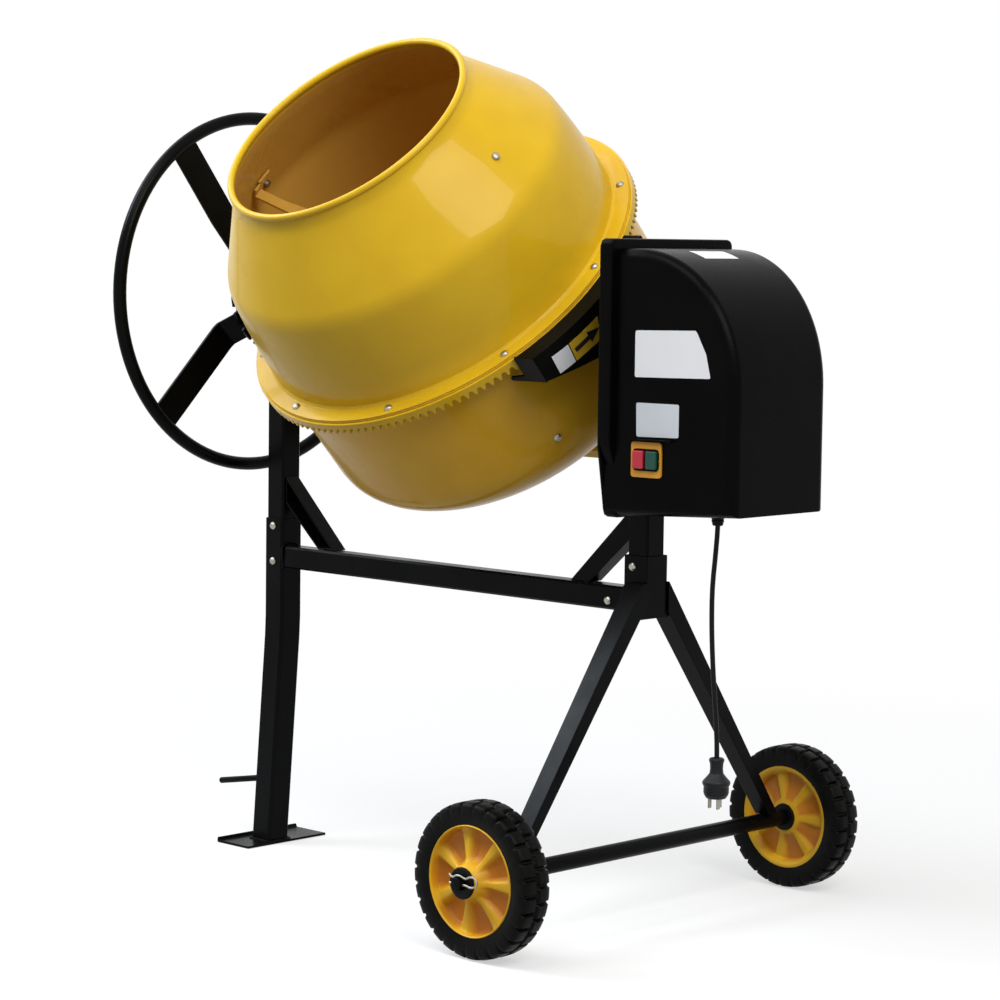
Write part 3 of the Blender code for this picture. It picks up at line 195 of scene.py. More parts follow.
# ---------------------------------------------------------------- finishes
@dataclass(frozen=True)
class Finish:
    """A surface finish: two close colours in soft patches, a fine relief, optional wear, and optional painted
    shade where the mesh marks it.
    """

    name: str
    colour: Point
    patch: Point
    slot: str | None = None
    roughness: tuple[float, float] = (0.3, 0.4)
    metallic: float = 0.0
    specular: float = 0.5
    coat: float = 0.0
    patch_scale: float = 14.0
    relief_scale: float = 700.0
    relief: float = 0.0
    relief_depth: float = 0.0004
    wear: float = 0.0
    wear_colour: Point = (0.30, 0.30, 0.31)
    speck: float = 0.0
    speck_colour: Point = (0.25, 0.25, 0.26)
    # colour of painted shade, mixed in where the mesh marks hollows or insides that lie in shade
    painted_shade_colour: Point | None = None
    coat_roughness: float = 0.05
    patch_span: tuple[float, float] = (0.35, 0.65)
    relief_detail: float = 2.0
    speck_scale: float = 330.0
    speck_size: float = 0.16

    @staticmethod
    def place(tree: bpy.types.NodeTree, group: bpy.types.NodeTree, **values: float) -> bpy.types.Node:
        """Puts a shader group in a material.

        Args:
            tree: the material's nodes.
            group: the group to place.
            values: numbers for the group's own inputs.

        Returns:
            The placed node.
        """
        node = tree.nodes.new("ShaderNodeGroup")
        node.node_tree = group
        for label, value in values.items():
            node.inputs[label].default_value = value
        return node

    @staticmethod
    def mix(tree: bpy.types.NodeTree, factor: bpy.types.NodeSocket, first: Colour,
            second: Colour) -> bpy.types.NodeSocket:
        """Mixes two colours, each a plain colour or a socket.

        Args:
            tree: the material's nodes.
            factor: socket that drives the mix.
            first: colour where the factor is 0.
            second: colour where the factor is 1.

        Returns:
            The mixed colour's socket.
        """
        mix = tree.nodes.new("ShaderNodeMix")
        mix.data_type = "RGBA"
        tree.links.new(factor, mix.inputs["Factor"])
        for label, value in (("A", first), ("B", second)):
            socket = next(s for s in mix.inputs if s.name == label and s.type == "RGBA")
            if isinstance(value, bpy.types.NodeSocket):
                tree.links.new(value, socket)
            else:
                socket.default_value = (*value, 1.0)
        return next(s for s in mix.outputs if s.type == "RGBA")

    def material(self) -> bpy.types.Material:
        """Makes the material of this finish on first use.

        Returns:
            The material.
        """
        if self.name in bpy.data.materials:
            return bpy.data.materials[self.name]
        mat = bpy.data.materials.new(self.name)
        mat.use_nodes = True
        tree = mat.node_tree
        shader = tree.nodes["Principled BSDF"]
        for label, value in (("Metallic", self.metallic), ("Specular IOR Level", self.specular),
                             ("Coat Weight", self.coat), ("Coat Roughness", self.coat_roughness)):
            shader.inputs[label].default_value = value
        low, high = self.patch_span
        patches = self.place(tree, Effects.grain(), Scale=self.patch_scale, Low=low, High=high)
        colour = self.mix(tree, patches.outputs["Value"], self.colour, self.patch)
        # painted shade: a darker, warmer colour where the mesh marks hollows or insides that lie in shade
        if self.painted_shade_colour:
            painted_shade = tree.nodes.new("ShaderNodeAttribute")
            painted_shade.attribute_name = "painted_shade"
            colour = self.mix(tree, painted_shade.outputs["Fac"], colour, self.painted_shade_colour)
        if self.wear:
            worn = self.place(tree, Effects.edge_wear(), Strength=self.wear)
            colour = self.mix(tree, worn.outputs["Mask"], colour, self.wear_colour)
        if self.speck:
            dots = self.place(tree, Effects.specks(), Scale=self.speck_scale, Size=self.speck_size,
                              Share=1.0 - self.speck)
            colour = self.mix(tree, dots.outputs["Mask"], colour, self.speck_colour)
        remap = tree.nodes.new("ShaderNodeMapRange")
        remap.inputs["To Min"].default_value, remap.inputs["To Max"].default_value = self.roughness
        wired(tree, (colour, shader.inputs["Base Color"]), (patches.outputs["Value"], remap.inputs["Value"]),
              (remap.outputs["Result"], shader.inputs["Roughness"]))
        if self.relief:
            fine = self.place(tree, Effects.grain(), Scale=self.relief_scale, Detail=self.relief_detail)
            bump = tree.nodes.new("ShaderNodeBump")
            bump.inputs["Strength"].default_value = self.relief
            bump.inputs["Distance"].default_value = self.relief_depth
            wired(tree, (fine.outputs["Value"], bump.inputs["Height"]),
                  (bump.outputs["Normal"], shader.inputs["Normal"]))
        return mat


# its shade colour is painted shade for the drum's inside, darker and warmer than the lit outside
YELLOW = Finish("yellow_paint_gloss", (0.690, 0.432, 0.014), (0.650, 0.395, 0.013), "yellow_paint",
                (0.25, 0.32), specular=0.08, coat=0.15, relief=0.05, relief_scale=420.0,
                relief_depth=0.0003, painted_shade_colour=(0.600, 0.340, 0.060))
# painted warm light: a copy of the yellow paint, warmer and brighter, for the warm light bounced onto the
# lower shell
YELLOW_WARM_LIT = replace(YELLOW, name="yellow_paint_lower_warm_lit", colour=(0.740, 0.415, 0.024),
                     patch=(0.700, 0.380, 0.021), coat=0.13)
# painted shade: a darker, warmer copy of the yellow paint for the blades, which sit in the drum's shaded
# inside
YELLOW_SHADED_INSIDE = replace(YELLOW, name="yellow_paint_inside_shaded", colour=(0.600, 0.340, 0.060),
                        patch=(0.560, 0.310, 0.050), roughness=(0.28, 0.36), specular=0.12, coat=0.0,
                        painted_shade_colour=None)
BLACK = Finish("black_paint_gloss", (0.0022, 0.0023, 0.0026), (0.0034, 0.0036, 0.0040), "black_paint",
               (0.22, 0.32), specular=0.045, relief=0.16, relief_scale=520.0, wear=0.10, speck=0.02,
               speck_colour=(0.05, 0.05, 0.055))
SHELL = Finish("housing_plastic_grained", (0.0009, 0.0009, 0.0009), (0.0015, 0.0015, 0.0014),
               "housing_plastic", (0.22, 0.30), specular=0.036, relief=0.22, relief_scale=620.0)
GUARD = Finish("guard_plastic", (0.0026, 0.0026, 0.0025), (0.0040, 0.0040, 0.0038), "housing_plastic",
               (0.34, 0.42), specular=0.05, relief=0.3, relief_scale=560.0)
ZINC = Finish("zinc_plate", (0.40, 0.385, 0.34), (0.30, 0.285, 0.245), "zinc", (0.32, 0.46), 1.0,
              relief=0.12, relief_scale=900.0)
STEEL = Finish("turned_steel", (0.42, 0.42, 0.43), (0.33, 0.33, 0.34), "steel", (0.28, 0.42), 1.0,
               relief=0.15, relief_scale=900.0)
CASING = Finish("motor_casing_paint", (0.24, 0.25, 0.26), (0.20, 0.21, 0.22), "motor_casing", (0.4, 0.5),
                relief=0.3)
FLEX = Finish("flex_sheath", (0.0040, 0.0041, 0.0045), (0.0055, 0.0056, 0.0060), "flex_rubber",
              (0.38, 0.46), specular=0.12, relief=0.2, relief_scale=900.0)
PLUG_SKIN = Finish("plug_moulding", (0.0060, 0.0065, 0.0080), (0.0090, 0.0095, 0.0115), "flex_rubber",
                   (0.34, 0.44), specular=0.18, relief=0.25, relief_scale=900.0)
TYRE = Finish("tyre_tread_rubber", (0.0018, 0.0018, 0.0016), (0.0034, 0.0033, 0.0029), "tyre_rubber",
              (0.32, 0.44), specular=0.06, relief=0.4, relief_scale=450.0, patch_scale=60.0)
# its shade colour is painted shade in the disc's hollows
RIM = Finish("rim_moulding", (0.760, 0.440, 0.018), (0.700, 0.390, 0.016), "rim_plastic", (0.28, 0.36),
             specular=0.20, relief=0.12, relief_scale=350.0, painted_shade_colour=(0.560, 0.200, 0.014))
HUB = Finish("bush_plastic", (0.0035, 0.0035, 0.0035), (0.0050, 0.0050, 0.0050), "housing_plastic",
             (0.34, 0.44), specular=0.07, relief=0.2)
ORANGE = Finish("switch_plate_plastic", (0.640, 0.300, 0.012), (0.600, 0.270, 0.012), "switch_orange",
                (0.36, 0.44), relief=0.15)
RED = Finish("stop_cap", (0.520, 0.010, 0.034), (0.460, 0.008, 0.028), "stop_red", (0.26, 0.32), coat=0.1)
GREEN = Finish("start_cap", (0.004, 0.070, 0.045), (0.003, 0.058, 0.038), "start_green", (0.26, 0.32),
               specular=0.3, coat=0.1)
STICKER = Finish("sticker_film", (0.78, 0.79, 0.82), (0.75, 0.76, 0.79), None, (0.30, 0.40))
FOIL = Finish("sticker_foil", (0.60, 0.64, 0.68), (0.56, 0.60, 0.64), None, (0.28, 0.40))
ARROW_FILM = Finish("sticker_yellow", (0.640, 0.400, 0.020), (0.600, 0.370, 0.020), None, (0.30, 0.40))
INK = Finish("sticker_ink", (0.010, 0.010, 0.010), (0.013, 0.013, 0.013), None, (0.35, 0.45))


# ---------------------------------------------------------------- building and dressing
ROUNDED_FROM = 32.0  # degrees between two faces from which their edge is rounded
FLAT_WITHIN = 0.6  # degrees within which neighbouring faces count as one flat
SAME_POINT = 0.00002  # distance within which two corners are one
BEAD_SPACING = 0.42  # distance between a bead's rings, as a share of its size
RIPPLE_RINGS = 2.6  # rings in each ripple of a bead
BEAD_LEAST, BEAD_SWELL = 0.82, 0.18  # least size of a ripple and what its crest adds, as shares
def dress(piece: bpy.types.Object, finish: Finish, body: Body, *nodes: str) -> bpy.types.Object:
    """Gives a piece its finish and its body, and hides the frame nodes it stands for.

    Args:
        piece: the new piece.
        finish: the finish of its whole surface.
        body: the body it moves with.
        nodes: frame nodes it replaces.

    Returns:
        The piece.
    """
    piece.data.materials.clear()
    piece.data.materials.append(finish.material())
    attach(piece, body.value)
    if nodes:
        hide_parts(*nodes)
    LOG.info("%s on %s in %s", piece.name, body.value, finish.name)
    return piece


def repaint(node: str, finish: Finish) -> None:
    """Gives a carried-over frame node a finish.

    Args:
        node: name of the frame node.
        finish: the finish of its whole surface.
    """
    obj = frame["nodes"][node]
    for slot in obj.material_slots:
        slot.material = finish.material()
    LOG.info("%s repainted in %s", node, finish.name)


def linked(name: str, data: bpy.types.ID) -> bpy.types.Object:
    """Makes an object and links it to the scene.

    Args:
        name: name of the object.
        data: its mesh, curve, lamp or camera.

    Returns:
        The object.
    """
    obj = bpy.data.objects.new(name, data)
    bpy.context.scene.collection.objects.link(obj)
    return obj


def finish_mesh(obj: bpy.types.Object, crease: float = 38.0) -> bpy.types.Object:
    """Turns a mesh's faces outward and shades it smooth up to an angle.

    Args:
        obj: the mesh object.
        crease: angle in degrees above which an edge stays sharp.

    Returns:
        The same object.
    """
    bm = bmesh.new()
    bm.from_mesh(obj.data)
    bmesh.ops.recalc_face_normals(bm, faces=bm.faces)
    bm.to_mesh(obj.data)
    bm.free()
    for poly in obj.data.polygons:
        poly.use_smooth = True
    obj.data.set_sharp_from_angle(angle=math.radians(crease))
    return obj


def new_mesh(name: str, verts: Iterable[Point], faces: Iterable[Sequence[int]],
             crease: float = 38.0) -> bpy.types.Object:
    """Makes a mesh object with faces outward and smooth shading up to an angle.

    Args:
        name: name of the piece.
        verts: corners.
        faces: rows of corner numbers.
        crease: angle in degrees above which an edge stays sharp.

    Returns:
        The object, linked to the scene.
    """
    mesh = bpy.data.meshes.new(name)
    mesh.from_pydata([tuple(v) for v in verts], [], [tuple(f) for f in faces])
    return finish_mesh(linked(name, mesh), crease)


def settled(obj: bpy.types.Object) -> bpy.types.Object:
    """Puts an object's modifiers into its mesh, with the shading that they give.

    Args:
        obj: the mesh object.

    Returns:
        The same object.
    """
    graph = bpy.context.evaluated_depsgraph_get()
    mesh = bpy.data.meshes.new_from_object(obj.evaluated_get(graph))
    obj.modifiers.clear()
    obj.data = mesh
    return obj


def flats_kept(obj: bpy.types.Object) -> bpy.types.Object:
    """Lets large flat faces keep their own normals beside roundings, then returns the object."""
    obj.modifiers.new("flats", "WEIGHTED_NORMAL").keep_sharp = True
    return settled(obj)


def bevelled(obj: bpy.types.Object, width: float, segments: int = 2) -> bpy.types.Object:
    """Rounds an object's sharp edges.

    Args:
        obj: the mesh object.
        width: width of the rounding.
        segments: steps across it.

    Returns:
        The same object.
    """
    mod = obj.modifiers.new("rounding", "BEVEL")
    mod.width, mod.segments = width, segments
    mod.limit_method, mod.angle_limit = "ANGLE", math.radians(ROUNDED_FROM)
    mod.use_clamp_overlap = True
    return flats_kept(finish_mesh(settled(obj)))


def softened(node: str, width: float, segments: int = 2) -> bpy.types.Object:
    """Copies a frame node with its flats cleaned and its edges rounded.

    Args:
        node: name of the frame node.
        width: width of the rounding.
        segments: steps across the rounding.

    Returns:
        The new object, named after the node.
    """
    mesh = frame["nodes"][node].data.copy()
    obj = linked(node + "_skin", mesh)
    bm = bmesh.new()
    bm.from_mesh(mesh)
    bmesh.ops.remove_doubles(bm, verts=bm.verts, dist=SAME_POINT)
    bmesh.ops.dissolve_limit(bm, angle_limit=math.radians(FLAT_WITHIN), verts=bm.verts, edges=bm.edges)
    bm.to_mesh(mesh)
    bm.free()
    return bevelled(obj, width, segments)


def reskin(node: str, width: float, finish: Finish, body: Body, segments: int = 2) -> None:
    """Puts a copy with rounded edges in a frame node's place and dresses it."""
    dress(softened(node, width, segments), finish, body, node)


def join(name: str, parts: Sequence[bpy.types.Object]) -> bpy.types.Object:
    """Joins closed meshes into one object.

    Args:
        name: name of the joined piece.
        parts: the objects, which are used up.

    Returns:
        The new object.
    """
    bm = bmesh.new()
    for part in parts:
        bm.from_mesh(part.data)
        bpy.data.objects.remove(part)
    mesh = bpy.data.meshes.new(name)
    bm.to_mesh(mesh)
    bm.free()
    return finish_mesh(linked(name, mesh))


def polar(radius: float, angle: float, height: float = 0.0) -> Vector:
    """Returns the point at a radius, an angle in radians and a height."""
    return Vector((radius * math.cos(angle), radius * math.sin(angle), height))


def rectangle(a0: float, b0: float, a1: float, b1: float) -> list[Point]:
    """Returns the four corners of a flat rectangle."""
    return [(a0, b0), (a1, b0), (a1, b1), (a0, b1)]


def skin(loops: Sequence[Loop], closed_path: bool = False) -> tuple[list[Vector], list[tuple[int, ...]]]:
    """Faces between equal loops of points, with filled ends unless the path is closed.

    Args:
        loops: rows of points, all of one length.
        closed_path: whether the last loop runs on to the first.

    Returns:
        The corners and the faces.
    """
    n, count = len(loops[0]), len(loops)
    faces = []
    for i in range(count if closed_path else count - 1):
        a, b = i * n, ((i + 1) % count) * n
        faces += [(a + j, a + (j + 1) % n, b + (j + 1) % n, b + j) for j in range(n)]
    if not closed_path:
        faces += [tuple(reversed(range(n))), tuple(range((count - 1) * n, count * n))]
    return [p for loop in loops for p in loop], faces


def eased(points: Sequence[Point], radius: float, steps: int = 3, closed: bool = True) -> list[Vector]:
    """Rounds the corners of a flat outline.

    Args:
        points: corners of the outline.
        radius: length taken from each side of a corner.
        steps: points added along each corner.
        closed: whether the outline returns to its start.

    Returns:
        The rounded outline.
    """
    pts = [Vector(p) for p in points]
    out = []
    for i, p in enumerate(pts):
        if not closed and i in (0, len(pts) - 1):
            out.append(p)
            continue
        before, after = pts[i - 1] - p, pts[(i + 1) % len(pts)] - p
        reach = min(radius, before.length * 0.45, after.length * 0.45)
        a, b = p + before.normalized() * reach, p + after.normalized() * reach
        for k in range(steps + 1):
            t = k / steps
            out.append(a * (1 - t) ** 2 + p * 2 * t * (1 - t) + b * t * t)
    return out


def turned(name: str, profile: Sequence[Point], place: Matrix, ease: float = 0.0006, steps: int = 64,
           closed: bool = True) -> bpy.types.Object:
    """A turned piece about a frame's Z axis.

    Args:
        name: name of the piece.
        profile: (radius, height) points; a closed profile stays off the axis.
        place: frame of the turning axis.
        ease: rounding of the profile's corners.
        steps: steps around.
        closed: whether the profile closes on itself instead of ending on the axis.

    Returns:
        The object.
    """
    ring = eased(profile, ease, closed=closed) if ease else [Vector(p) for p in profile]
    core = ring if closed else ring[1:-1]
    n, verts, faces = len(core), [], []
    for i in range(steps):
        a = TAU * i / steps
        verts += [place @ polar(r, a, h) for r, h in core]
        p, q = i * n, ((i + 1) % steps) * n
        faces += [(p + j, q + j, q + (j + 1) % n, p + (j + 1) % n) for j in range(n if closed else n - 1)]
    if not closed:
        verts += [place @ Vector((0, 0, ring[0][1])), place @ Vector((0, 0, ring[-1][1]))]
        low = len(verts) - 2
        for i in range(steps):
            p, q = i * n, ((i + 1) % steps) * n
            faces += [(low, q, p), (p + n - 1, q + n - 1, low + 1)]
    return new_mesh(name, verts, faces)


def turned_skin(node: str, profile: Sequence[Point], place: Matrix, finish: Finish, body: Body,
                ease: float = 0.0006, steps: int = 48, closed: bool = True) -> None:
    """Puts a turned piece in a frame node's place and dresses it."""
    dress(turned(node + "_skin", profile, place, ease, steps, closed), finish, body, node)


def pushed(name: str, outline: Sequence[Point], low: float, high: float, place: Matrix) -> bpy.types.Object:
    """A flat outline pushed along a frame's Z axis, from low to high."""
    loops = [[place @ Vector((a, b, t)) for a, b in outline] for t in (low, high)]
    return new_mesh(name, *skin(loops))


def smooth_route(points: Sequence[Point], spacing: float, fineness: int = 24) -> list[Vector]:
    """Even points along a soft curve.

    Args:
        points: points the curve passes through.
        spacing: distance between the points given back.
        fineness: steps in which each span is measured.

    Returns:
        The points, ends included.
    """
    pts = [Vector(p) for p in points]
    ends = [pts[0] * 2 - pts[1]] + pts + [pts[-1] * 2 - pts[-2]]
    fine = []
    for i in range(1, len(ends) - 2):
        a, b, c, d = ends[i - 1:i + 3]
        fine += [0.5 * (2 * b + (c - a) * t + (2 * a - 5 * b + 4 * c - d) * t * t
                        + (3 * b - a - 3 * c + d) * t ** 3) for t in (k / fineness for k in range(fineness))]
    fine.append(pts[-1])
    total = sum((q - p).length for p, q in zip(fine, fine[1:]))
    count = max(2, round(total / spacing))
    out, run, k = [fine[0]], 0.0, 1
    for p, q in zip(fine, fine[1:]):
        step = (q - p).length
        while k < count and run + step >= total * k / count:
            out.append(p.lerp(q, (total * k / count - run) / step))
            k += 1
        run += step
    return out + [fine[-1]]


def swept(name: str, route: Sequence[Vector], radius: Callable[[float], float],
          around: int) -> bpy.types.Object:
    """A round section carried along a route.

    Args:
        name: name of the piece.
        route: points of the middle line.
        radius: radius at a share of the way, from 0 to 1.
        around: points around the section.

    Returns:
        The object.
    """
    loops, side, last = [], None, len(route) - 1
    for i, p in enumerate(route):
        along = (route[min(i + 1, last)] - route[max(i - 1, 0)]).normalized()
        side = along.orthogonal() if side is None else side - along * side.dot(along)
        side.normalize()
        up, r = along.cross(side), radius(i / last)
        loops.append([p + r * (math.cos(TAU * k / around) * side + math.sin(TAU * k / around) * up)
                      for k in range(around)])
    return new_mesh(name, *skin(loops))


def weld_bead(route: Sequence[Point], size: float) -> bpy.types.Object:
    """A rippled bead of weld along a route.

    Args:
        route: points along the joint.
        size: greatest radius of the bead.

    Returns:
        The object.
    """
    line = smooth_route(route, size * BEAD_SPACING)
    ripples = len(line) / RIPPLE_RINGS
    return swept("bead", line, lambda t: size * (
        BEAD_LEAST + BEAD_SWELL * abs(math.sin(math.pi * ripples * t))), 8)


# ---------------------------------------------------------------- camera, floor and light
@dataclass(frozen=True)
class Lamp:
    """A soft rectangular lamp that faces the machine; azimuth and lift are in degrees."""

    name: str
    azimuth: float
    lift: float
    far: float
    size: tuple[float, float]
    power: float
    tint: Point
    aim: Point = (0, 0, 0.75)

    def build(self) -> None:
        """Hangs the lamp and turns it to the machine."""
        data = bpy.data.lights.new(self.name, "AREA")
        data.shape, data.energy, data.color = "RECTANGLE", self.power, self.tint
        data.size, data.size_y = self.size
        lamp = linked(self.name, data)
        a, e = math.radians(self.azimuth), math.radians(self.lift)
        way = Vector((math.cos(a) * math.cos(e), math.sin(a) * math.cos(e), math.sin(e)))
        lamp.location = Vector(self.aim) + way * self.far
        lamp.rotation_euler = way.to_track_quat("Z", "Y").to_euler()


@dataclass
class Studio:
    """Camera, pale floor and soft light."""

    eye: Point = (2.86099, -2.92261, 0.89303)
    right: Point = (0.7180765, 0.6958442, 0.0129209)
    up: Point = (-0.0699596, 0.0536985, 0.9961034)
    back: Point = (0.6924391, -0.7161824, 0.0872406)
    lens: float = 107.19
    sensor: float = 36.0
    reach: float = 60.0
    floor_size: float = 30.0
    floor_drop: float = 0.0005
    floor_colour: Point = (0.26, 0.26, 0.26)
    floor_seen: Point = (0.93, 0.93, 0.93)
    floor_roughness: float = 0.9
    fade_from: float = 0.7
    fade_to: float = 2.2
    fade_least: float = 0.55
    ambient: float = 0.36
    lamps: tuple[Lamp, ...] = (
        Lamp("key", -22.0, 36.0, 3.4, (1.9, 1.6), 64.0, (1.0, 0.99, 0.97)),
        Lamp("top", -84.0, 57.0, 3.3, (2.4, 1.8), 54.0, (1.0, 1.0, 1.0)),
        Lamp("left", -167.0, 41.0, 3.4, (2.2, 2.0), 46.0, (0.92, 0.96, 1.0)),
        Lamp("low", -144.0, 35.0, 3.3, (1.3, 1.0), 52.0, (0.80, 0.90, 1.0)))

    def camera(self) -> None:
        """Places the camera and makes it the scene's own."""
        data = bpy.data.cameras.new("camera")
        data.lens, data.sensor_width, data.clip_end = self.lens, self.sensor, self.reach
        cam = linked("camera", data)
        turn = Matrix((Vector(self.right), Vector(self.up), Vector(self.back))).transposed().to_4x4()
        cam.matrix_world = Matrix.Translation(Vector(self.eye)) @ turn
        bpy.context.scene.camera = cam

    @staticmethod
    def _seen(tree: bpy.types.NodeTree) -> bpy.types.NodeSocket:
        """Adds up the camera, glossy and transmission rays.

        Args:
            tree: nodes of a material or of the world.

        Returns:
            A socket that is 1 for such rays and 0 for the others.
        """
        path = tree.nodes.new("ShaderNodeLightPath")
        total = path.outputs["Is Camera Ray"]
        for label in ("Is Glossy Ray", "Is Transmission Ray"):
            add = tree.nodes.new("ShaderNodeMath")
            add.operation, add.use_clamp = "ADD", True
            wired(tree, (total, add.inputs[0]), (path.outputs[label], add.inputs[1]))
            total = add.outputs[0]
        return total

    def floor(self) -> None:
        """Lays a wide pale floor that fades into the backdrop and keeps the shadows."""
        s = self.floor_size
        corners = [(a, b, 0) for a, b in rectangle(-s, -s, s, s)]
        obj = new_mesh("studio_floor", corners, [(0, 1, 2, 3)])
        obj.location.z = -self.floor_drop
        mat = bpy.data.materials.new("studio_floor")
        mat.use_nodes = True
        tree = mat.node_tree
        shader, out = tree.nodes["Principled BSDF"], tree.nodes["Material Output"]
        shader.inputs["Roughness"].default_value = self.floor_roughness
        shader.inputs["Specular IOR Level"].default_value = 0.0
        colour = Finish.mix(tree, self._seen(tree), self.floor_colour, self.floor_seen)
        glow, blend, coord, far, fade, gate = added(tree, "Emission", "MixShader", "TexCoord", "VectorMath",
                                                    "MapRange", "Math")
        gate.operation, far.operation, fade.interpolation_type = "MULTIPLY", "LENGTH", "SMOOTHSTEP"
        for label, value in (("From Min", self.fade_from), ("From Max", self.fade_to),
                             ("To Min", self.fade_least)):
            fade.inputs[label].default_value = value
        wired(tree, (colour, shader.inputs["Base Color"]), (coord.outputs["Object"], far.inputs[0]),
              (far.outputs["Value"], fade.inputs["Value"]), (fade.outputs["Result"], gate.inputs[0]),
              (self._seen(tree), gate.inputs[1]), (gate.outputs[0], blend.inputs[0]),
              (shader.outputs[0], blend.inputs[1]), (glow.outputs[0], blend.inputs[2]),
              (blend.outputs[0], out.inputs["Surface"]))
        obj.data.materials.append(mat)

    def light(self) -> None:
        """Sets a white surround and hangs the soft lamps."""
        world = bpy.data.worlds.new("studio")
        world.use_nodes = True
        bpy.context.scene.world = world
        tree = world.node_tree
        back = tree.nodes["Background"]
        back.inputs["Color"].default_value = (1, 1, 1, 1)
        level = tree.nodes.new("ShaderNodeMapRange")
        level.inputs["To Min"].default_value, level.inputs["To Max"].default_value = self.ambient, 1.0
        wired(tree, (self._seen(tree), level.inputs["Value"]),
              (level.outputs["Result"], back.inputs["Strength"]))
        for lamp in self.lamps:
            lamp.build()
        bpy.context.scene.view_settings.view_transform = "Standard"

    def build(self) -> None:
        """Sets the camera, the floor and the light."""
        self.camera()
        self.floor()
        self.light()


# ---------------------------------------------------------------- mains lead
@dataclass
class MainsLead:
    """Short mains lead that hangs from the housing's floor, with its gland and moulded plug."""

    top: Point = (0.46115, -0.0450, 0.5494)
    route: tuple = ((0.0000, 0.0060), (0.0000, -0.0160), (-0.0025, -0.0480), (-0.0065, -0.0900),
                    (-0.0068, -0.1330), (-0.0045, -0.1780), (-0.0005, -0.2230), (0.0035, -0.2620),
                    (0.0056, -0.2920), (0.0058, -0.3177))
    radius: float = 0.0032
    length: float = 0.3255
    spacing: float = 0.016
    pin_ring: float = 0.0080
    pin_ends: tuple[float, float] = (-0.0550, -0.0410)

    def build(self) -> None:
        """Makes the lead, the plug and the gland."""
        x, y, z = self.top
        line = smooth_route([(x + a, y, z + b) for a, b in self.route], self.spacing)
        curve = bpy.data.curves.new("mains_lead", "CURVE")
        curve.dimensions, curve.bevel_depth, curve.bevel_resolution = "3D", self.radius, 6
        curve.use_fill_caps = True
        spline = curve.splines.new("POLY")
        spline.points.add(len(line) - 1)
        for point, place in zip(spline.points, line):
            point.co = (*place, 1.0)
        lead = dress(linked("mains_lead", curve), FLEX, Body.FRAME, "cord")
        plug = dress(self.plug(line[-1]), PLUG_SKIN, Body.FRAME, "plug")
        pins = dress(self.pins(line[-1]), ZINC, Body.FRAME, "plug")
        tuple(line[0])
        gland = [(0.0037, 0.0100), (0.0069, 0.0100), (0.0069, -0.0003), (0.0082, -0.0006),
                 (0.0082, -0.0040), (0.0074, -0.0048), (0.0080, -0.0056), (0.0080, -0.0078),
                 (0.0070, -0.0086), (0.0073, -0.0096), (0.0062, -0.0125), (0.0037, -0.0125)]
        turned_skin("cable_gland", gland, Matrix.Translation(Vector(self.top)), HUB, Body.FRAME, 0.0004, 32)

    @staticmethod
    def plug(end: Vector) -> bpy.types.Object:
        """Builds the moulded plug body: sleeve, saucer-shaped shoulder, barrel and grip ribs.

        Args:
            end: free end of the lead.

        Returns:
            The object.
        """
        profile = [(0.0036, 0.0100), (0.0080, 0.0100), (0.0097, 0.0086), (0.0099, 0.0062), (0.0086, 0.0030),
                   (0.0082, -0.0040), (0.0090, -0.0100), (0.0142, -0.0163), (0.0176, -0.0200),
                   (0.0181, -0.0220), (0.0176, -0.0240), (0.0160, -0.0266), (0.0157, -0.0368),
                   (0.0125, -0.0418), (0.0030, -0.0430), (0.0030, -0.0060), (0.0036, -0.0060)]
        place = Matrix.Translation(end)
        body = turned("body", profile, place, 0.0009, 48)
        grips = [turned("grip", rectangle(0.0150, h, 0.0164, h - 0.0011), place, 0.0003, 48)
                 for h in (-0.0285, -0.0310, -0.0335)]
        core = turned("core", [(0, -0.0428), (0.0060, -0.0428), (0.0060, -0.0065), (0, -0.0065)], place,
                      0.0003, 24, False)
        return join("plug_skin", [body, core, *grips])

    def pins(self, end: Vector) -> bpy.types.Object:
        """Builds the three flat blades of the plug.

        Args:
            end: free end of the lead.

        Returns:
            The object.
        """
        blades = []
        flat = eased(rectangle(-0.0029, -0.0008, 0.0029, 0.0008), 0.0003)
        for angle, swing in ((90, 0), (210, 60), (330, -60)):
            place = (Matrix.Translation(end + polar(self.pin_ring, math.radians(angle)))
                     @ Matrix.Rotation(math.radians(angle + 180 + swing), 4, "Z"))
            blades.append(bevelled(pushed("pin", flat, *self.pin_ends, place), 0.0003, 1))
        return join("plug_pins", blades)


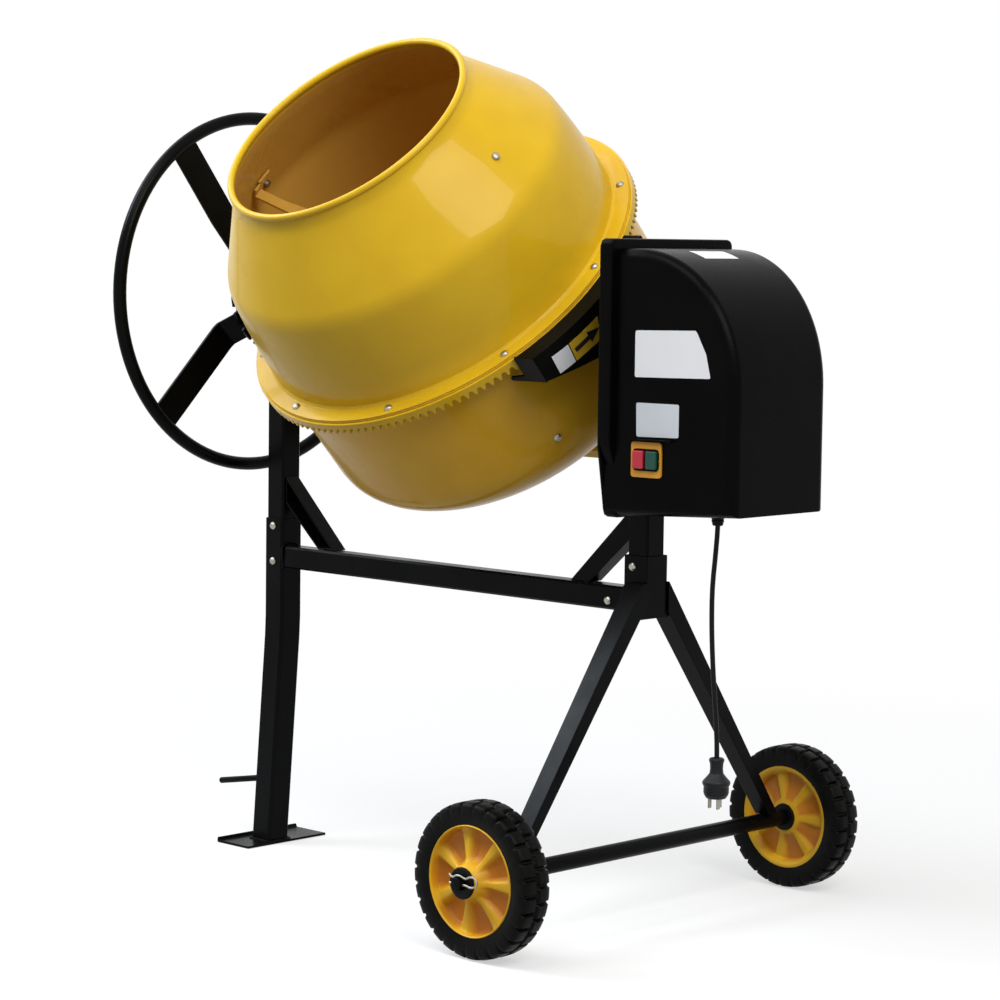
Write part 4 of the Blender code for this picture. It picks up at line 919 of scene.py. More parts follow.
# ---------------------------------------------------------------- frame
@dataclass
class Stand:
    """Left post with its foot, crossbar, braces, right sleeve and the two splayed legs."""

    rounding: float = 0.0011
    thin_share: float = 0.55
    members: tuple[str, ...] = ("left_leg", "left_post", "crossbar", "left_brace", "right_brace",
                                "right_post", "right_sleeve", "front_leg", "rear_leg", "foot_plate",
                                "lock_plate")
    thin: tuple[str, ...] = ("foot_plate", "lock_plate", "left_brace", "right_brace")
    head_radius: float = 0.0058
    head_height: float = 0.0042
    shank: float = 0.0040
    nut_radius: float = 0.0064
    nut_height: float = 0.0048
    thread_end: float = 0.0060
    foot_bead: float = 0.0022
    bar_bead: float = 0.0017
    axle_bead: float = 0.0020
    foot_bead_rise: float = 0.0038
    bar_bead_inset: float = 0.0008
    axle_bead_half: float = 0.011
    axle_bead_rise: float = 0.0118
    leg_to_bead: float = 0.015
    leg_half: float = 0.0200
    leg_foot_y: float = -0.0230
    peg_root: Point = (-0.42965, -0.018, 0.0910)
    peg_tip: Point = (-0.52335, -0.020, 0.0745)
    peg_radius: float = 0.0046

    def tubes(self) -> None:
        """Dresses every tube, plate and channel with rounded edges."""
        for node in self.members:
            share = self.thin_share if node in self.thin else 1.0
            reskin(node, self.rounding * share, BLACK, Body.FRAME)

    def bolts(self) -> None:
        """Makes the four through bolts, each a domed head, a shank and a hexagon nut."""
        r, tall = self.head_radius, self.head_height
        for node in ("bolt_left_upper", "bolt_left_lower", "bolt_right_post", "bolt_crossbar"):
            low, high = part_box(node)
            middle = ((low.x + high.x) / 2, low.y + tall, (low.z + high.z) / 2)
            place = Matrix.Translation(middle) @ Matrix.Rotation(math.pi / 2, 4, "X")
            long = (high.y - low.y) - tall - self.thread_end
            head = [(0, tall), (0.0032, 0.0037), (0.0052, 0.0018), (r, 0.0006), (r, 0.0), (self.shank, 0.0),
                    (self.shank, -long - self.thread_end + 0.0002), (0, -long - self.thread_end)]
            dome = turned("head", head, place, 0.0004, 32, False)
            dress(join(node + "_skin", [dome, self.hexagon(place, -long)]), ZINC, Body.FRAME, node)

    def hexagon(self, place: Matrix, top: float) -> bpy.types.Object:
        """Builds a hexagon nut below a height on a frame's axis."""
        ring = [polar(self.nut_radius, TAU * k / 6).xy for k in range(6)]
        return bevelled(pushed("nut", ring, top - self.nut_height, top, place), 0.0005, 2)

    def welds(self) -> None:
        """Runs weld beads round the joints of the stand."""
        low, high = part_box("left_leg")
        x, z = (low.x + high.x) / 2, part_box("foot_plate")[0].z + self.foot_bead_rise
        out = self.leg_half + 0.0006
        square = [(x + a * out, self.leg_foot_y + b * out, z) for a, b in
                  ((-1, -1), (0, -1), (1, -1), (1, 0), (1, 1), (0, 1), (-1, 1), (-1, 0), (-1, -0.9))]
        beads = [weld_bead(square, self.foot_bead)]
        low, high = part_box("crossbar")
        for x in (low.x + self.bar_bead_inset, high.x - self.bar_bead_inset):
            beads.append(weld_bead([(x, low.y, low.z), (x, low.y, high.z), (x, high.y, high.z),
                                    (x, high.y, low.z), (x, low.y + 0.004, low.z)], self.bar_bead))
        low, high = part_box("axle")
        x, z, half = (low.x + high.x) / 2, (low.z + high.z) / 2 + self.axle_bead_rise, self.axle_bead_half
        for y in (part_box("front_leg")[0].y + self.leg_to_bead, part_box("rear_leg")[1].y - self.leg_to_bead):
            beads.append(weld_bead([(x - half, y, z), (x, y, z + 0.0004), (x + half, y, z)],
                                   self.axle_bead))
        dress(join("weld_beads", beads), BLACK, Body.FRAME)

    def peg(self) -> None:
        """Makes the foot peg with a rounded tip."""
        along, r = Vector(self.peg_tip) - Vector(self.peg_root), self.peg_radius
        place = Matrix.Translation(Vector(self.peg_root)) @ along.to_track_quat("Z", "Y").to_matrix().to_4x4()
        profile = [(0, 0), (r, 0), (r, along.length - 0.0012), (r - 0.0010, along.length), (0, along.length)]
        turned_skin("foot_peg", profile, place, BLACK, Body.FRAME, 0.0010, 32, False)

    def build(self) -> None:
        """Makes the whole stand."""
        self.tubes()
        self.bolts()
        self.welds()
        self.peg()


# ---------------------------------------------------------------- road wheels
@dataclass
class RoadWheel:
    """Axle end with a lugged tyre on a seven-spoked moulded disc, its bush and spring clip."""

    label: str
    side: int
    body: Body
    rim_radius: float = 0.0708
    width: float = 0.0467
    lugs: int = 28
    lug_steps: int = 10
    lug_rows: tuple[float, ...] = (-1.0, -1.0, -0.985, -0.93, -0.80, -0.62, -0.40, -0.16, -0.05)
    grooves: tuple[float, ...] = (0.0800, 0.0868, 0.0925, 0.0935, 0.0940, 0.0942, 0.0942, 0.0938)
    crests: tuple[float, ...] = (0.0806, 0.0915, 0.0962, 0.0980, 0.0988, 0.0990, 0.0990, 0.0950)
    seat_share: float = 0.88
    ribs: int = 7
    hollow: float = 0.0092
    rim_steps: int = 196
    stub: float = 0.0083
    clip_radius: float = 0.00145

    def __post_init__(self) -> None:
        """Finds the wheel's centre and its outward axis."""
        self.hub = Vector(joint(self.label + "_wheel_spin")["pos_m"])
        self.place = Matrix.Translation(self.hub) @ Matrix.Rotation(-self.side * math.pi / 2, 4, "X")

    def tyre(self) -> None:
        """Builds the tyre: two staggered rows of lugs over a rounded carcass."""
        around, half, loops = self.lugs * self.lug_steps, self.width / 2, []
        inner = self.rim_radius + 0.0002
        low, high = (inner, *self.grooves), (inner, *self.crests)
        ring = [(w, -1) for w in self.lug_rows] + [(-w, 1) for w in reversed(self.lug_rows)]
        for i in range(around):
            a, loop = TAU * i / around, []
            for k, (w, row) in enumerate(ring):
                edge = min(k, len(ring) - 1 - k)
                r = low[edge] + (high[edge] - low[edge]) * self._lug(a, row)
                wide = half * (self.seat_share if edge == 0 else abs(w))
                loop.append(self.place @ polar(r, a, math.copysign(wide, w)))
            loops.append(loop)
        tyre = new_mesh(self.label + "_tyre_skin", *skin(loops, closed_path=True), crease=50.0)
        dress(tyre, TYRE, self.body, self.label + "_tyre")

    def _lug(self, angle: float, row: int) -> float:
        """Finds how far a lug stands out at an angle.

        Args:
            angle: angle round the tyre in radians.
            row: -1 for the inner row of lugs, 1 for the outer one.

        Returns:
            A share from 0, in a groove, to 1, on a lug.
        """
        share = (angle * self.lugs / TAU + (0.25 if row > 0 else -0.25)) % 1.0
        gap = min(share, 1 - share) * 2
        return min(1.0, max(0.0, (gap - 0.16) / 0.14))

    def rim(self) -> None:
        """Builds the disc: broad ribs between deep hollows, with a mask of painted shade that darkens the
        hollows.
        """
        loops, painted_shade = [], []
        for i in range(self.rim_steps):
            a = TAU * i / self.rim_steps
            wave = 0.5 + 0.5 * math.cos(self.ribs * a)
            rib = min(1.0, max(0.0, (wave - 0.42) / 0.56))
            rib = rib * rib * (3 - 2 * rib)
            low = self.hollow * (1 - rib)
            front = [(0.0123, 0.0320, 0), (0.0195, 0.0320, 0), (0.0207, 0.0312, 0), (0.0228, 0.0235, 0.1),
                     (0.0262, 0.0200 - low * 0.3, 0.5), (0.0310, 0.0180 - low * 0.85, 1),
                     (0.0400, 0.0168 - low, 1), (0.0500, 0.0150 - low, 1), (0.0620, 0.0138 - low * 0.95, 1),
                     (0.0662, 0.0146 - low * 0.8, 0.95), (0.0678, 0.0180, 0.5), (0.0686, 0.0212, 0),
                     (0.0697, 0.0220, 0), (self.rim_radius, 0.0212, 0)]
            back = [(0.0123, 0.0190), (0.0225, 0.0190), (0.0262, 0.0152), (0.0400, 0.0150 - low * 0.7),
                    (0.0590, 0.0122 - low * 0.6), (0.0640, 0.0185), (0.0680, 0.0205),
                    (self.rim_radius, 0.0200)]
            # third value: share of painted shade, full in the hollows and none on the ribs
            ring = [(r, h, d * (1 - rib)) for r, h, d in front]
            ring += [(r, -h, 1 - rib if 0.026 < r < 0.062 else 0.0) for r, h in reversed(back)]
            loops.append([self.place @ polar(r, a, h) for r, h, _ in ring])
            painted_shade += [d for _, _, d in ring]
        disc = new_mesh(self.label + "_rim_skin", *skin(loops, closed_path=True), crease=55.0)
        # the mask of painted shade, front and back
        layer = disc.data.attributes.new("painted_shade", "FLOAT", "POINT")
        layer.data.foreach_set("value", painted_shade)
        dress(disc, RIM, self.body, self.label + "_rim")

    def hardware(self) -> None:
        """Builds the flanged bush and the spring clip."""
        g = 0.0003
        profile = [(self.stub, 0.0363), (0.0186, 0.0363), (0.0202, 0.0350), (0.0202, 0.0320 + g),
                   (0.0123 - g, 0.0320 + g), (0.0123 - g, -0.0190 - g), (0.0190, -0.0190 - g),
                   (0.0180, -0.0232), (self.stub, -0.0232)]
        turned_skin(self.label + "_bush", profile, self.place, HUB, self.body, 0.0008)
        low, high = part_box(self.label + "_clip")
        y, x0, z0 = (low.y + high.y) / 2, self.hub.x, self.hub.z
        path = [(-0.0150, 0), (-0.008, 0), (0, 0), (0.008, 0), (0.0150, 0), (0.0205, -0.0012),
                (0.0275, 0.0002), (0.0320, 0.0045), (0.0305, 0.0095), (0.0250, 0.0120), (0.0185, 0.0108),
                (0.0130, 0.0085), (0.0085, 0.0092), (0.0040, 0.0105), (0, 0.0108), (-0.0040, 0.0102),
                (-0.0085, 0.0080), (-0.0125, 0.0085), (-0.0155, 0.0110)]
        route = smooth_route([(x0 + a, y, z0 + b) for a, b in path], 0.0011)
        dress(swept(self.label + "_clip_skin", route, lambda t: self.clip_radius, 10), ZINC, Body.FRAME,
              self.label + "_clip")

    def build(self) -> None:
        """Makes the wheel and its fixings."""
        self.tyre()
        self.rim()
        self.hardware()


@dataclass
class Axle:
    """Solid axle with thinner stub ends."""

    radius: float = 0.0110
    stub: float = 0.0080
    half: float = 0.2825
    stub_half: float = 0.3560

    def build(self) -> None:
        """Makes the axle."""
        hub = Vector(joint("front_wheel_spin")["pos_m"])
        place = Matrix.Translation((hub.x, 0, hub.z)) @ Matrix.Rotation(-math.pi / 2, 4, "X")
        a, s = self.half, self.stub_half
        profile = [(0, -s), (self.stub, -s), (self.stub, -a), (self.radius, -a), (self.radius, a),
                   (self.stub, a), (self.stub, s), (0, s)]
        turned_skin("axle", profile, place, BLACK, Body.FRAME, 0.0008, 40, False)


# ---------------------------------------------------------------- drum
@dataclass
class Drum:
    """Two bolted shells with a rolled mouth, the toothed ring, mixing blades and their bolts."""

    steps: int = 180
    teeth: int = 150
    flange_bolts: int = 10
    bolt_circle: float = 0.2785
    bolt_phase: float = 3.1
    bead_radius: float = 0.0048
    bead_at: Point = (0.1765, 0.3105)
    ring_bore: float = 0.2700
    ring_outer: float = 0.2935
    ring_top: float = 0.0470
    ring_edge: float = 0.0005
    tooth_root: float = 0.0380
    tooth_tip: float = 0.0300
    shoulder: float = 0.015
    fold: float = 0.0006
    dish_step: float = 0.008
    inside_radius: float = 0.2675
    inside_top: float = 0.302
    inside_middle: float = 0.05
    inside_facing: float = 0.25
    blade_rounding: float = 0.0007
    bolt_rounding: float = 0.0006

    def upper(self) -> None:
        """Builds the upper shell: flange, belly, shoulder, cone and rolled mouth."""
        flange = eased([(0.2640, 0.0497), (0.2900, 0.0497), (0.2900, 0.0518), (0.2700, 0.0518),
                        (0.2665, 0.0550), (0.2656, 0.0950)], self.fold, closed=False)
        outside = eased([(0.2655, 0.1000), (0.2607, 0.1500), (0.2551, 0.1898), (0.1885, 0.2860),
                         (0.1848, 0.2915), (0.1822, 0.2965)], self.shoulder, 8, closed=False)
        inside = eased([(0.1779, 0.3030), (0.1792, 0.2985), (0.1866, 0.2852), (0.2529, 0.1898),
                        (0.2587, 0.1500), (0.2635, 0.0998)], self.shoulder, 8, closed=False)
        (r0, h0), r = self.bead_at, self.bead_radius
        bead = [(r0 + r * math.cos(t), h0 + r * math.sin(t)) for t in map(math.radians, range(-60, 241, 20))]
        shell = turned("drum_upper_skin", flange + outside + bead + inside, DRUM, 0.0, self.steps)
        # painted shade on the inner skin
        self.mark_inside_shade(shell)
        dress(shell, YELLOW, Body.DRUM, "drum_upper")

    def lower(self) -> None:
        """Builds the lower shell: flange, straight wall and dished bottom."""
        outside = smooth_route([(0.0, -0.2512), (0.0500, -0.2500), (0.0900, -0.2460), (0.1300, -0.2380),
                                (0.1650, -0.2240), (0.1900, -0.2090), (0.2130, -0.1940), (0.2330, -0.1800),
                                (0.2500, -0.1640), (0.2600, -0.1500), (0.2660, -0.1360), (0.2680, -0.1200)],
                               self.dish_step)
        flange = eased([(0.2680, -0.1000), (0.2680, 0.0440), (0.2683, 0.0473), (0.2905, 0.0473),
                        (0.2905, 0.0494), (0.2660, 0.0494), (0.2660, -0.1000)], self.fold, closed=False)
        inside = smooth_route([(0.2660, -0.1195), (0.2575, -0.1495), (0.2315, -0.1780), (0.1889, -0.2067),
                               (0.1288, -0.2356), (0.0497, -0.2480), (0.0, -0.2492)], self.dish_step * 2)
        shell = turned("drum_lower_skin", outside + flange + inside, DRUM, 0.0, self.steps, False)
        # painted shade on the inner skin
        self.mark_inside_shade(shell)
        # the lower shell wears the copy of the yellow with painted warm light
        dress(shell, YELLOW_WARM_LIT, Body.DRUM, "drum_lower")

    def mark_inside_shade(self, shell: bpy.types.Object) -> None:
        """Marks the inner skin of a shell for painted shade, which makes its colour darker and warmer.

        Args:
            shell: the upper or lower shell.
        """
        layer = shell.data.attributes.new("painted_shade", "FLOAT", "POINT")
        middle = TILT_AT + DRUM_UP * self.inside_middle
        for vert, item in zip(shell.data.vertices, layer.data):
            rise = (vert.co - TILT_AT).dot(DRUM_UP)
            axis = vert.co - TILT_AT - DRUM_UP * rise
            faces_in = vert.normal.dot((middle - vert.co).normalized()) > self.inside_facing
            item.value = float(faces_in and rise < self.inside_top and axis.length < self.inside_radius)

    def ring(self) -> None:
        """Builds the toothed ring, its blunt teeth pointing away from the mouth."""
        r0, r1, top, edge = self.ring_bore, self.ring_outer, self.ring_top, self.ring_edge
        root, tip, pitch, loops = self.tooth_root, self.tooth_tip, TAU / self.teeth, []
        line = [(0.0, root), (0.14, root), (0.20, root - 0.0006), (0.40, tip + 0.0006), (0.45, tip),
                (0.55, tip), (0.60, tip + 0.0006), (0.80, root - 0.0006), (0.86, root)]
        for i in range(self.teeth):
            for share, low in line:
                section = [(r0, low), (r1 - edge, low), (r1, low + edge), (r1, top - edge), (r1 - edge, top),
                           (r0, top)]
                loops.append([DRUM @ polar(r, (i + share) * pitch, h) for r, h in section])
        dress(new_mesh("ring_gear_skin", *skin(loops, closed_path=True)), YELLOW, Body.DRUM, "ring_gear")

    def bolts(self) -> None:
        """Makes the zinc bolts of the flange and of the blades."""
        heads = []
        profile = [(0, 0.0508), (0.0056, 0.0508), (0.0056, 0.0526), (0.0048, 0.0540), (0.0030, 0.0552),
                   (0, 0.0556)]
        for i in range(self.flange_bolts):
            a = math.radians(self.bolt_phase) + TAU * i / self.flange_bolts
            place = DRUM @ Matrix.Translation(polar(self.bolt_circle, a))
            heads.append(turned("head", profile, place, 0.0003, 28, False))
        dress(join("flange_bolts", heads), ZINC, Body.DRUM)
        for node in ("blade_bolt_a_upper", "blade_bolt_a_lower", "blade_bolt_b_upper",
                     "blade_bolt_b_lower"):
            reskin(node, self.bolt_rounding, ZINC, Body.DRUM)

    def build(self) -> None:
        """Makes the drum and all it carries."""
        self.upper()
        self.lower()
        self.ring()
        self.bolts()
        # the blades take the copy of the yellow with painted shade
        for node in ("blade_a", "blade_b"):
            reskin(node, self.blade_rounding, YELLOW_SHADED_INSIDE, Body.DRUM)
        shaft = [(0, -0.2515), (0.0450, -0.2515), (0.0450, -0.2555), (0.0125, -0.2555),
                 (0.0125, -0.2990), (0.0115, -0.3000), (0, -0.3000)]
        turned_skin("drum_shaft", shaft, DRUM, STEEL, Body.DRUM, closed=False)


# ---------------------------------------------------------------- yoke, trunnions and hand wheel
@dataclass
class HandWheel:
    """Large tube wheel with three flat spokes and a plate hub."""

    radius: float = 0.2546
    tube: float = 0.0095
    spoke_width: float = 0.0445
    spoke_thick: float = 0.005
    dish: float = 0.0245
    bore: float = 0.0103
    boss: float = 0.0200
    plate: float = 0.0500
    spoke_rounding: float = 0.0009
    tube_steps: int = 20
    sloped_spoke_at: float = 123.6
    cranked_spokes_at: tuple[float, float] = (226.2, 350.0)

    def build(self) -> None:
        """Makes the wheel as one welded piece."""
        hub = Vector((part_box("hand_wheel")[0].x + self.tube, 0, TILT_AT.z))
        place = Matrix.Translation(hub) @ ALONG_X
        turns = [TAU * k / self.tube_steps for k in range(self.tube_steps)]
        circle = [(self.radius + self.tube * math.cos(a), self.tube * math.sin(a)) for a in turns]
        d, t = self.dish, self.spoke_thick / 2
        plate = [(self.bore, d - t), (self.bore, d + t + 0.0090), (self.boss, d + t + 0.0090),
                 (self.boss + 0.0012, d + t + 0.0005), (self.plate, d + t + 0.0005), (self.plate, d - t)]
        parts = [turned("rim", circle, place, 0.0, 128), turned("hub", plate, place, 0.0010, 64)]
        cranked = [(0.030, d), (0.058, d), (0.066, d * 0.93), (0.084, 0.0020), (0.092, 0.0), (0.2500, 0.0)]
        sloped = [(0.030, d), (0.058, d), (0.070, d * 0.95), (0.093, 0.0198), (0.134, 0.0110),
                  (0.2500, 0.0003)]
        spokes = [(self.sloped_spoke_at, sloped)] + [(at, cranked) for at in self.cranked_spokes_at]
        for angle, line in spokes:
            a = math.radians(angle)
            out, across = Vector((0, math.cos(a), math.sin(a))), Vector((0, -math.sin(a), math.cos(a)))
            w, n, loops = across * self.spoke_width / 2, Vector((t, 0, 0)), []
            for r, x in line:
                p = hub + out * r + Vector((x, 0, 0))
                loops.append([p - w - n, p + w - n, p + w + n, p - w + n])
            parts.append(bevelled(new_mesh("spoke", *skin(loops)), self.spoke_rounding, 2))
        dress(join("hand_wheel_skin", parts), BLACK, Body.YOKE, "hand_wheel")


@dataclass
class Cradle:
    """Yoke that carries the drum, with its trunnions and bearings."""

    yoke_rounding: float = 0.0016
    bearing_rounding: float = 0.0004

    def build(self) -> None:
        """Makes the yoke, the trunnions and the bearings."""
        reskin("yoke", self.yoke_rounding, YELLOW, Body.YOKE, 3)
        left = [(0, -0.4360), (0.0085, -0.4360), (0.0100, -0.4340), (0.0100, -0.2990), (0, -0.2990)]
        turned_skin("trunnion_left", left, TILT, STEEL, Body.YOKE, closed=False)
        right = rectangle(0.0077, 0.2990, 0.0120, 0.3850)
        turned_skin("trunnion_right", right, TILT, STEEL, Body.YOKE)
        bearing = [(0.0128, -0.2838), (0.0200, -0.2838), (0.0200, -0.2632), (0.0280, -0.2632),
                   (0.0280, -0.2558), (0.0128, -0.2558)]
        turned_skin("drum_bearing", bearing, DRUM, HUB, Body.YOKE, 0.0008)
        for node in ("bearing_left", "bearing_right"):
            reskin(node, self.bearing_rounding, STEEL, Body.FRAME)


# ---------------------------------------------------------------- drive guard with its stickers
@dataclass
class DriveGuard:
    """Curved cover over the ring and pinion, with a blank sticker and a turning arrow."""

    wall: float = 0.3255
    film: float = 0.0003
    sticker_lift: float = 0.0001
    mark_lift: float = 0.0004
    rounding: float = 0.0012
    blank: tuple[Point, ...] = ((-24.7, 0.0344), (-19.9, 0.0330), (-20.4, 0.0054), (-25.0, 0.0063))
    arrow: tuple[Point, ...] = ((-19.6, 0.0330), (-10.1, 0.0327), (-12.1, 0.0038), (-20.1, 0.0053))
    arrow_shaft: tuple[Point, ...] = ((-19.1, 0.0219), (-14.6, 0.0223), (-14.6, 0.0159), (-19.1, 0.0155))
    arrow_head: tuple[Point, ...] = ((-14.6, 0.0274), (-11.2, 0.0193), (-11.2, 0.0189), (-14.6, 0.0108))

    def _patch(self, name: str, corners: Sequence[Point], lift: float, across: int = 14) -> bpy.types.Object:
        """Builds a thin curved sticker.

        Args:
            name: name of the piece.
            corners: four (azimuth in degrees, height) corners in order.
            lift: height of its back above the guard's wall.
            across: steps along its length.

        Returns:
            The object.
        """
        (a0, h0), (a1, h1), (a2, h2), (a3, h3) = corners
        back, face = self.wall + lift, self.wall + (lift + self.film)
        loops = []
        for i in range(across + 1):
            t = i / across
            top, low = (a0 + (a1 - a0) * t, h0 + (h1 - h0) * t), (a3 + (a2 - a3) * t, h3 + (h2 - h3) * t)
            loops.append([DRUM @ polar(r, math.radians(az), h)
                          for (az, h), r in ((top, back), (low, back), (low, face), (top, face))])
        return new_mesh(name, *skin(loops))

    def build(self) -> None:
        """Makes the guard and its stickers."""
        reskin("pinion_guard", self.rounding, GUARD, Body.YOKE, 3)
        for name, corners, film in (("guard_sticker_blank", self.blank, STICKER),
                                    ("guard_sticker_arrow", self.arrow, ARROW_FILM)):
            dress(self._patch(name, corners, self.sticker_lift), film, Body.YOKE)
        marks = [self._patch("mark", m, self.mark_lift, 8) for m in (self.arrow_shaft, self.arrow_head)]
        dress(join("guard_arrow_mark", marks), INK, Body.YOKE)


# ---------------------------------------------------------------- housing and switch
@dataclass
class Housing:
    """Moulded motor housing with a rounded roof, its rim, back plate, stickers and switch."""

    wall: float = 0.003
    fillet: float = 0.0135
    fillet_steps: int = 7
    half: float = 0.108
    rim_depth: float = 0.0169
    roof_level: float = 0.0429
    roof_drop: float = 0.0124
    roof_mid: float = 0.711
    roof_steps: int = 28
    taper: float = 0.016 / 0.183
    tuck: float = 0.0125
    tuck_heights: tuple[float, float, float] = (0.640, 0.628, 0.604)
    floor_heights: tuple[float, float, float] = (0.5432, 0.5440, 0.5522)
    rim_width: float = 0.0135
    rim_sill: float = 0.006
    rim_nose: tuple[Point, ...] = ((0.0030, 0.0), (0.0008, 0.0009), (0.0, 0.0030))
    film: tuple[float, float] = (0.0001, 0.0004)
    sticker_rim_x: float = 0.3940
    large_sticker: tuple[Point, ...] = ((0.424, 0.781), (0.517, 0.783), (0.5325, 0.7545), (0.540, 0.724),
                                        (0.424, 0.722))
    small_sticker: tuple[Point, ...] = ((0.427, 0.690), (0.493, 0.690), (0.493, 0.648), (0.428, 0.647))
    roof_sticker_x: tuple[float, float] = (0.4495, 0.4770)
    roof_sticker_y: tuple[float, float] = (-0.0350, 0.0310)
    # heights of the dark plate of painted shade round the caps
    recess_shade_heights: tuple[float, float] = (0.0034, 0.0042)
    cap_pitch: float = 0.0202
    cap_half: tuple[float, float] = (0.0086, 0.0118)

    def __post_init__(self) -> None:
        """Takes the housing's place from the frame's own box."""
        self.low, self.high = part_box("motor_housing")
        self.rim_x = self.low.x + self.rim_depth
        self.roof_x = self.low.x + self.roof_level
        self.top = self.high.z - self.roof_drop

    def _half_width(self, x: float) -> float:
        """Returns the distance of the front face from the middle plane."""
        return self.half - (x - self.rim_x) * self.taper

    def _roof(self, x: float) -> float:
        """Finds the height of the roof.

        Args:
            x: place along the housing.

        Returns:
            The height there.
        """
        if x <= self.roof_x:
            return self.top
        share = min(1.0, (x - self.roof_x) / (self.high.x - self.roof_x))
        return self.roof_mid + (self.top - self.roof_mid) * math.sqrt(1 - share * share)

    def _outline(self) -> list[Vector]:
        """Draws the side outline, from the open end's floor round to its roof.

        Returns:
            The outline's (x, z) points.
        """
        near, middle, far = self.floor_heights
        floor = [Vector((self.low.x, near)), Vector((self.rim_x, middle)), Vector((self.high.x, far)),
                 Vector((self.high.x, self.tuck_heights[0]))]
        wide, tall = self.high.x - self.roof_x, self.top - self.roof_mid
        turns = [math.pi / 2 * k / self.roof_steps for k in range(self.roof_steps + 1)]
        arc = [Vector((self.roof_x + wide * math.cos(a), self.roof_mid + tall * math.sin(a))) for a in turns]
        return floor + arc + [Vector((self.low.x, self.top))]

    @staticmethod
    def _shrunk(line: Sequence[Vector], amount: float) -> list[Vector]:
        """Moves an open outline inward, its two ends sliding only up or down.

        Args:
            line: the outline.
            amount: distance to move.

        Returns:
            The smaller outline.
        """
        out = [line[0] + Vector((0, amount))]
        for before, p, after in zip(line, line[1:], line[2:]):
            into, away = (p - before).normalized(), (after - p).normalized()
            first, second = Vector((-into.y, into.x)), Vector((-away.y, away.x))
            middle = (first + second).normalized()
            out.append(p + middle * amount / middle.dot(first))
        return out + [line[-1] - Vector((0, amount))]

    def shell(self) -> None:
        """Builds the moulded cover with rounded front and back edges and an open left side."""
        line, rows = self._outline(), []
        arc = [math.pi / 2 * k / self.fillet_steps for k in range(self.fillet_steps + 1)]
        for side, turns in ((-1, arc), (1, reversed(arc))):
            for a in turns:
                inward, back = self.fillet * (1 - math.sin(a)), self.fillet * (1 - math.cos(a))
                rows.append([Vector((p.x, side * (self._half_width(p.x) - back), p.y))
                             for p in self._shrunk(line, inward)])
        n, count = len(line), len(rows)
        verts = [p for row in rows for p in row]
        faces = [(i * n + j, i * n + j + 1, (i + 1) * n + j + 1, (i + 1) * n + j)
                 for i in range(count - 1) for j in range(n - 1)]
        faces += [tuple(range(n)), tuple((count - 1) * n + j for j in reversed(range(n)))]
        cover = new_mesh("housing_cover", verts, faces, crease=60.0)
        thick = cover.modifiers.new("wall", "SOLIDIFY")
        thick.thickness, thick.offset, thick.use_rim = self.wall, -1.0, True
        dress(flats_kept(finish_mesh(settled(cover))), SHELL, Body.FRAME, "motor_housing")

    @staticmethod
    def _mirrored(right: Sequence[Point]) -> list[Point]:
        """Closes an outline from its right half, which is given from the top down."""
        return [(-right[0][0], right[0][1]), *right, *((-a, b) for a, b in reversed(right[1:]))]

    def rim(self) -> None:
        """Builds the broad rim round the open side, with the back plate behind it."""
        y, z0, z1 = self.high.y, self.low.z, self.high.z
        t, w, (high, middle, low) = self.tuck, self.rim_width, self.tuck_heights
        outer = [(y, z1), (y, high), (y - t * 0.2, middle), (y - t, low), (y - t, z0)]
        inner = [(y - w, z1 - w), (y - w, high), (y - w - t * 0.1, middle), (y - w - t * 0.5, low),
                 (y - w - t * 0.5, z0 + self.rim_sill)]
        out, hole = eased(self._mirrored(outer), 0.010, 5), eased(self._mirrored(inner), 0.008, 5)
        x0, x1 = self.low.x, self.rim_x
        nose = [(x1 - back, self._in(out, inward)) for back, inward in self.rim_nose]
        loops = [[Vector((x, a, b)) for a, b in line]
                 for x, line in ((x0, hole), (x0, out), *nose, (x1, hole))]
        ring = flats_kept(new_mesh("housing_rim", *skin(loops, closed_path=True)))
        dress(ring, SHELL, Body.FRAME, "motor_housing")
        reskin("housing_back", 0.0006, BLACK, Body.FRAME)

    @staticmethod
    def _in(line: Sequence[Vector], amount: float) -> list[Vector]:
        """Returns a closed outline moved towards its middle by up to an amount each way."""
        middle = sum(line, Vector((0, 0))) / len(line)
        return [p - Vector([math.copysign(min(amount, abs(d)), d) for d in p - middle]) for p in line]

    def _front(self, x: float, z: float, lift: float) -> Vector:
        """Returns a point in front of the housing's front face."""
        return Vector((x, -self._half_width(x) - lift, z))

    def stickers(self) -> None:
        """Lays the blank stickers on the front face and on the roof."""
        shift = self.rim_x - self.sticker_rim_x
        for name, finish, corners in (("housing_sticker_large", STICKER, self.large_sticker),
                                      ("housing_sticker_small", FOIL, self.small_sticker)):
            line = eased([(x + shift, z) for x, z in corners], 0.0030, 4)
            loops = [[self._front(x, z, lift) for x, z in line] for lift in self.film]
            dress(new_mesh(name, *skin(loops)), finish, Body.FRAME)
        (x0, x1), (y0, y1), (back, face) = self.roof_sticker_x, self.roof_sticker_y, self.film
        x0, x1, loops = x0 + shift, x1 + shift, []
        for i in range(11):
            x = x0 + (x1 - x0) * i / 10
            loops.append([Vector((x, y, self._roof(x) + lift)) for y, lift in rectangle(y0, back, y1, face)])
        dress(new_mesh("housing_sticker_roof", *skin(loops)), STICKER, Body.FRAME)

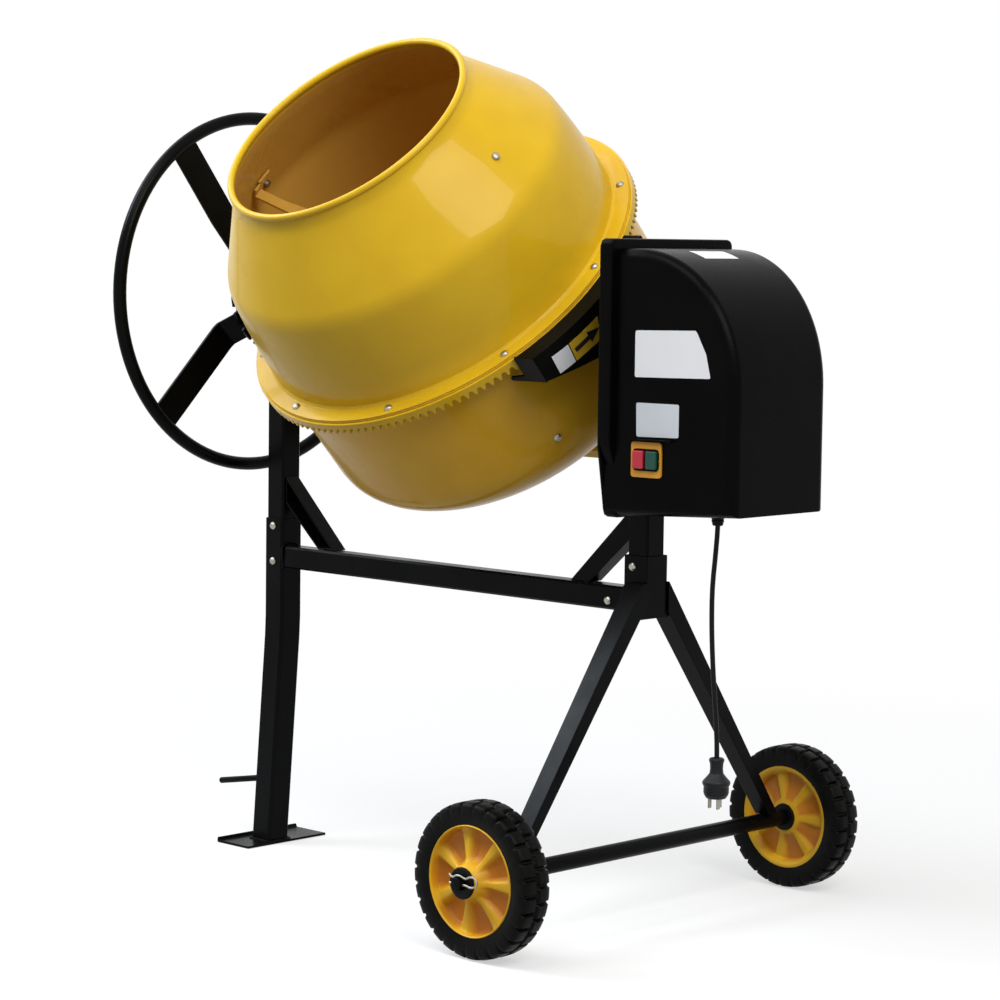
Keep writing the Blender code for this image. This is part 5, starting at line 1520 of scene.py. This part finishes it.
    def switch(self) -> None:
        """Makes the switch plate, its two caps and the drip ledge above it."""
        reskin("switch_box", 0.0007, ORANGE, Body.FRAME, 3)
        reskin("switch_hood", 0.0005, SHELL, Body.FRAME)
        # painted shade: a dark plate round the caps stands for the shaded recess
        self.recess_shade_plate()
        reskin("stop_button", 0.0016, RED, Body.STOP, 4)
        reskin("start_button", 0.0016, GREEN, Body.START, 4)

    def recess_shade_plate(self) -> None:
        """Builds a thin dark plate round the two caps, with an opening for each; its darkness is painted shade
        for the recess round the caps.
        """
        middle = (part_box("stop_button")[0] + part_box("start_button")[1]) / 2
        place = (Matrix.Translation((middle.x, -self._half_width(middle.x), middle.z))
                 @ Matrix.Rotation(math.atan(self.taper), 4, "Z") @ Matrix.Rotation(math.pi / 2, 4, "X"))
        outline = eased(rectangle(-0.0200, -0.0140, 0.0205, 0.0140), 0.0060, 6)
        plate = pushed("switch_recess_shade", outline, *self.recess_shade_heights, place)
        wide, tall = self.cap_half
        for centre in (-self.cap_pitch / 2, self.cap_pitch / 2):
            hole = eased(rectangle(centre - wide, -tall, centre + wide, tall), 0.0020, 4)
            cutter = pushed("cutter", hole, 0.0, 0.01, place)
            cut = plate.modifiers.new("hole", "BOOLEAN")
            cut.operation, cut.object, cut.solver = "DIFFERENCE", cutter, "EXACT"
            bpy.context.view_layer.update()
            finish_mesh(settled(plate))
            bpy.data.objects.remove(cutter)
        dress(plate, GUARD, Body.FRAME)

    def build(self) -> None:
        """Makes the whole housing."""
        self.shell()
        self.rim()
        self.stickers()
        self.switch()


@dataclass
class Drive:
    """Pinion, belt drive and motor inside the housing."""

    def build(self) -> None:
        """Dresses the drive pieces that the frame carries."""
        for node in ("pinion", "pinion_shaft", "driven_pulley", "drive_pulley", "motor_shaft"):
            repaint(node, STEEL)
        repaint("belt", FLEX)
        repaint("motor", CASING)


def main() -> None:
    """Builds the studio and every sub-assembly in order."""
    logging.basicConfig(level=logging.INFO, format="%(name)s: %(message)s")
    assemblies = (Studio(), MainsLead(), Stand(), Axle(), RoadWheel("front", -1, Body.FRONT_WHEEL),
                  RoadWheel("rear", 1, Body.REAR_WHEEL), Drum(), Cradle(), HandWheel(), DriveGuard(),
                  Housing(), Drive())
    for assembly in assemblies:
        assembly.build()
        LOG.info("%s built", type(assembly).__name__)


if __name__ == "__main__":
    main()
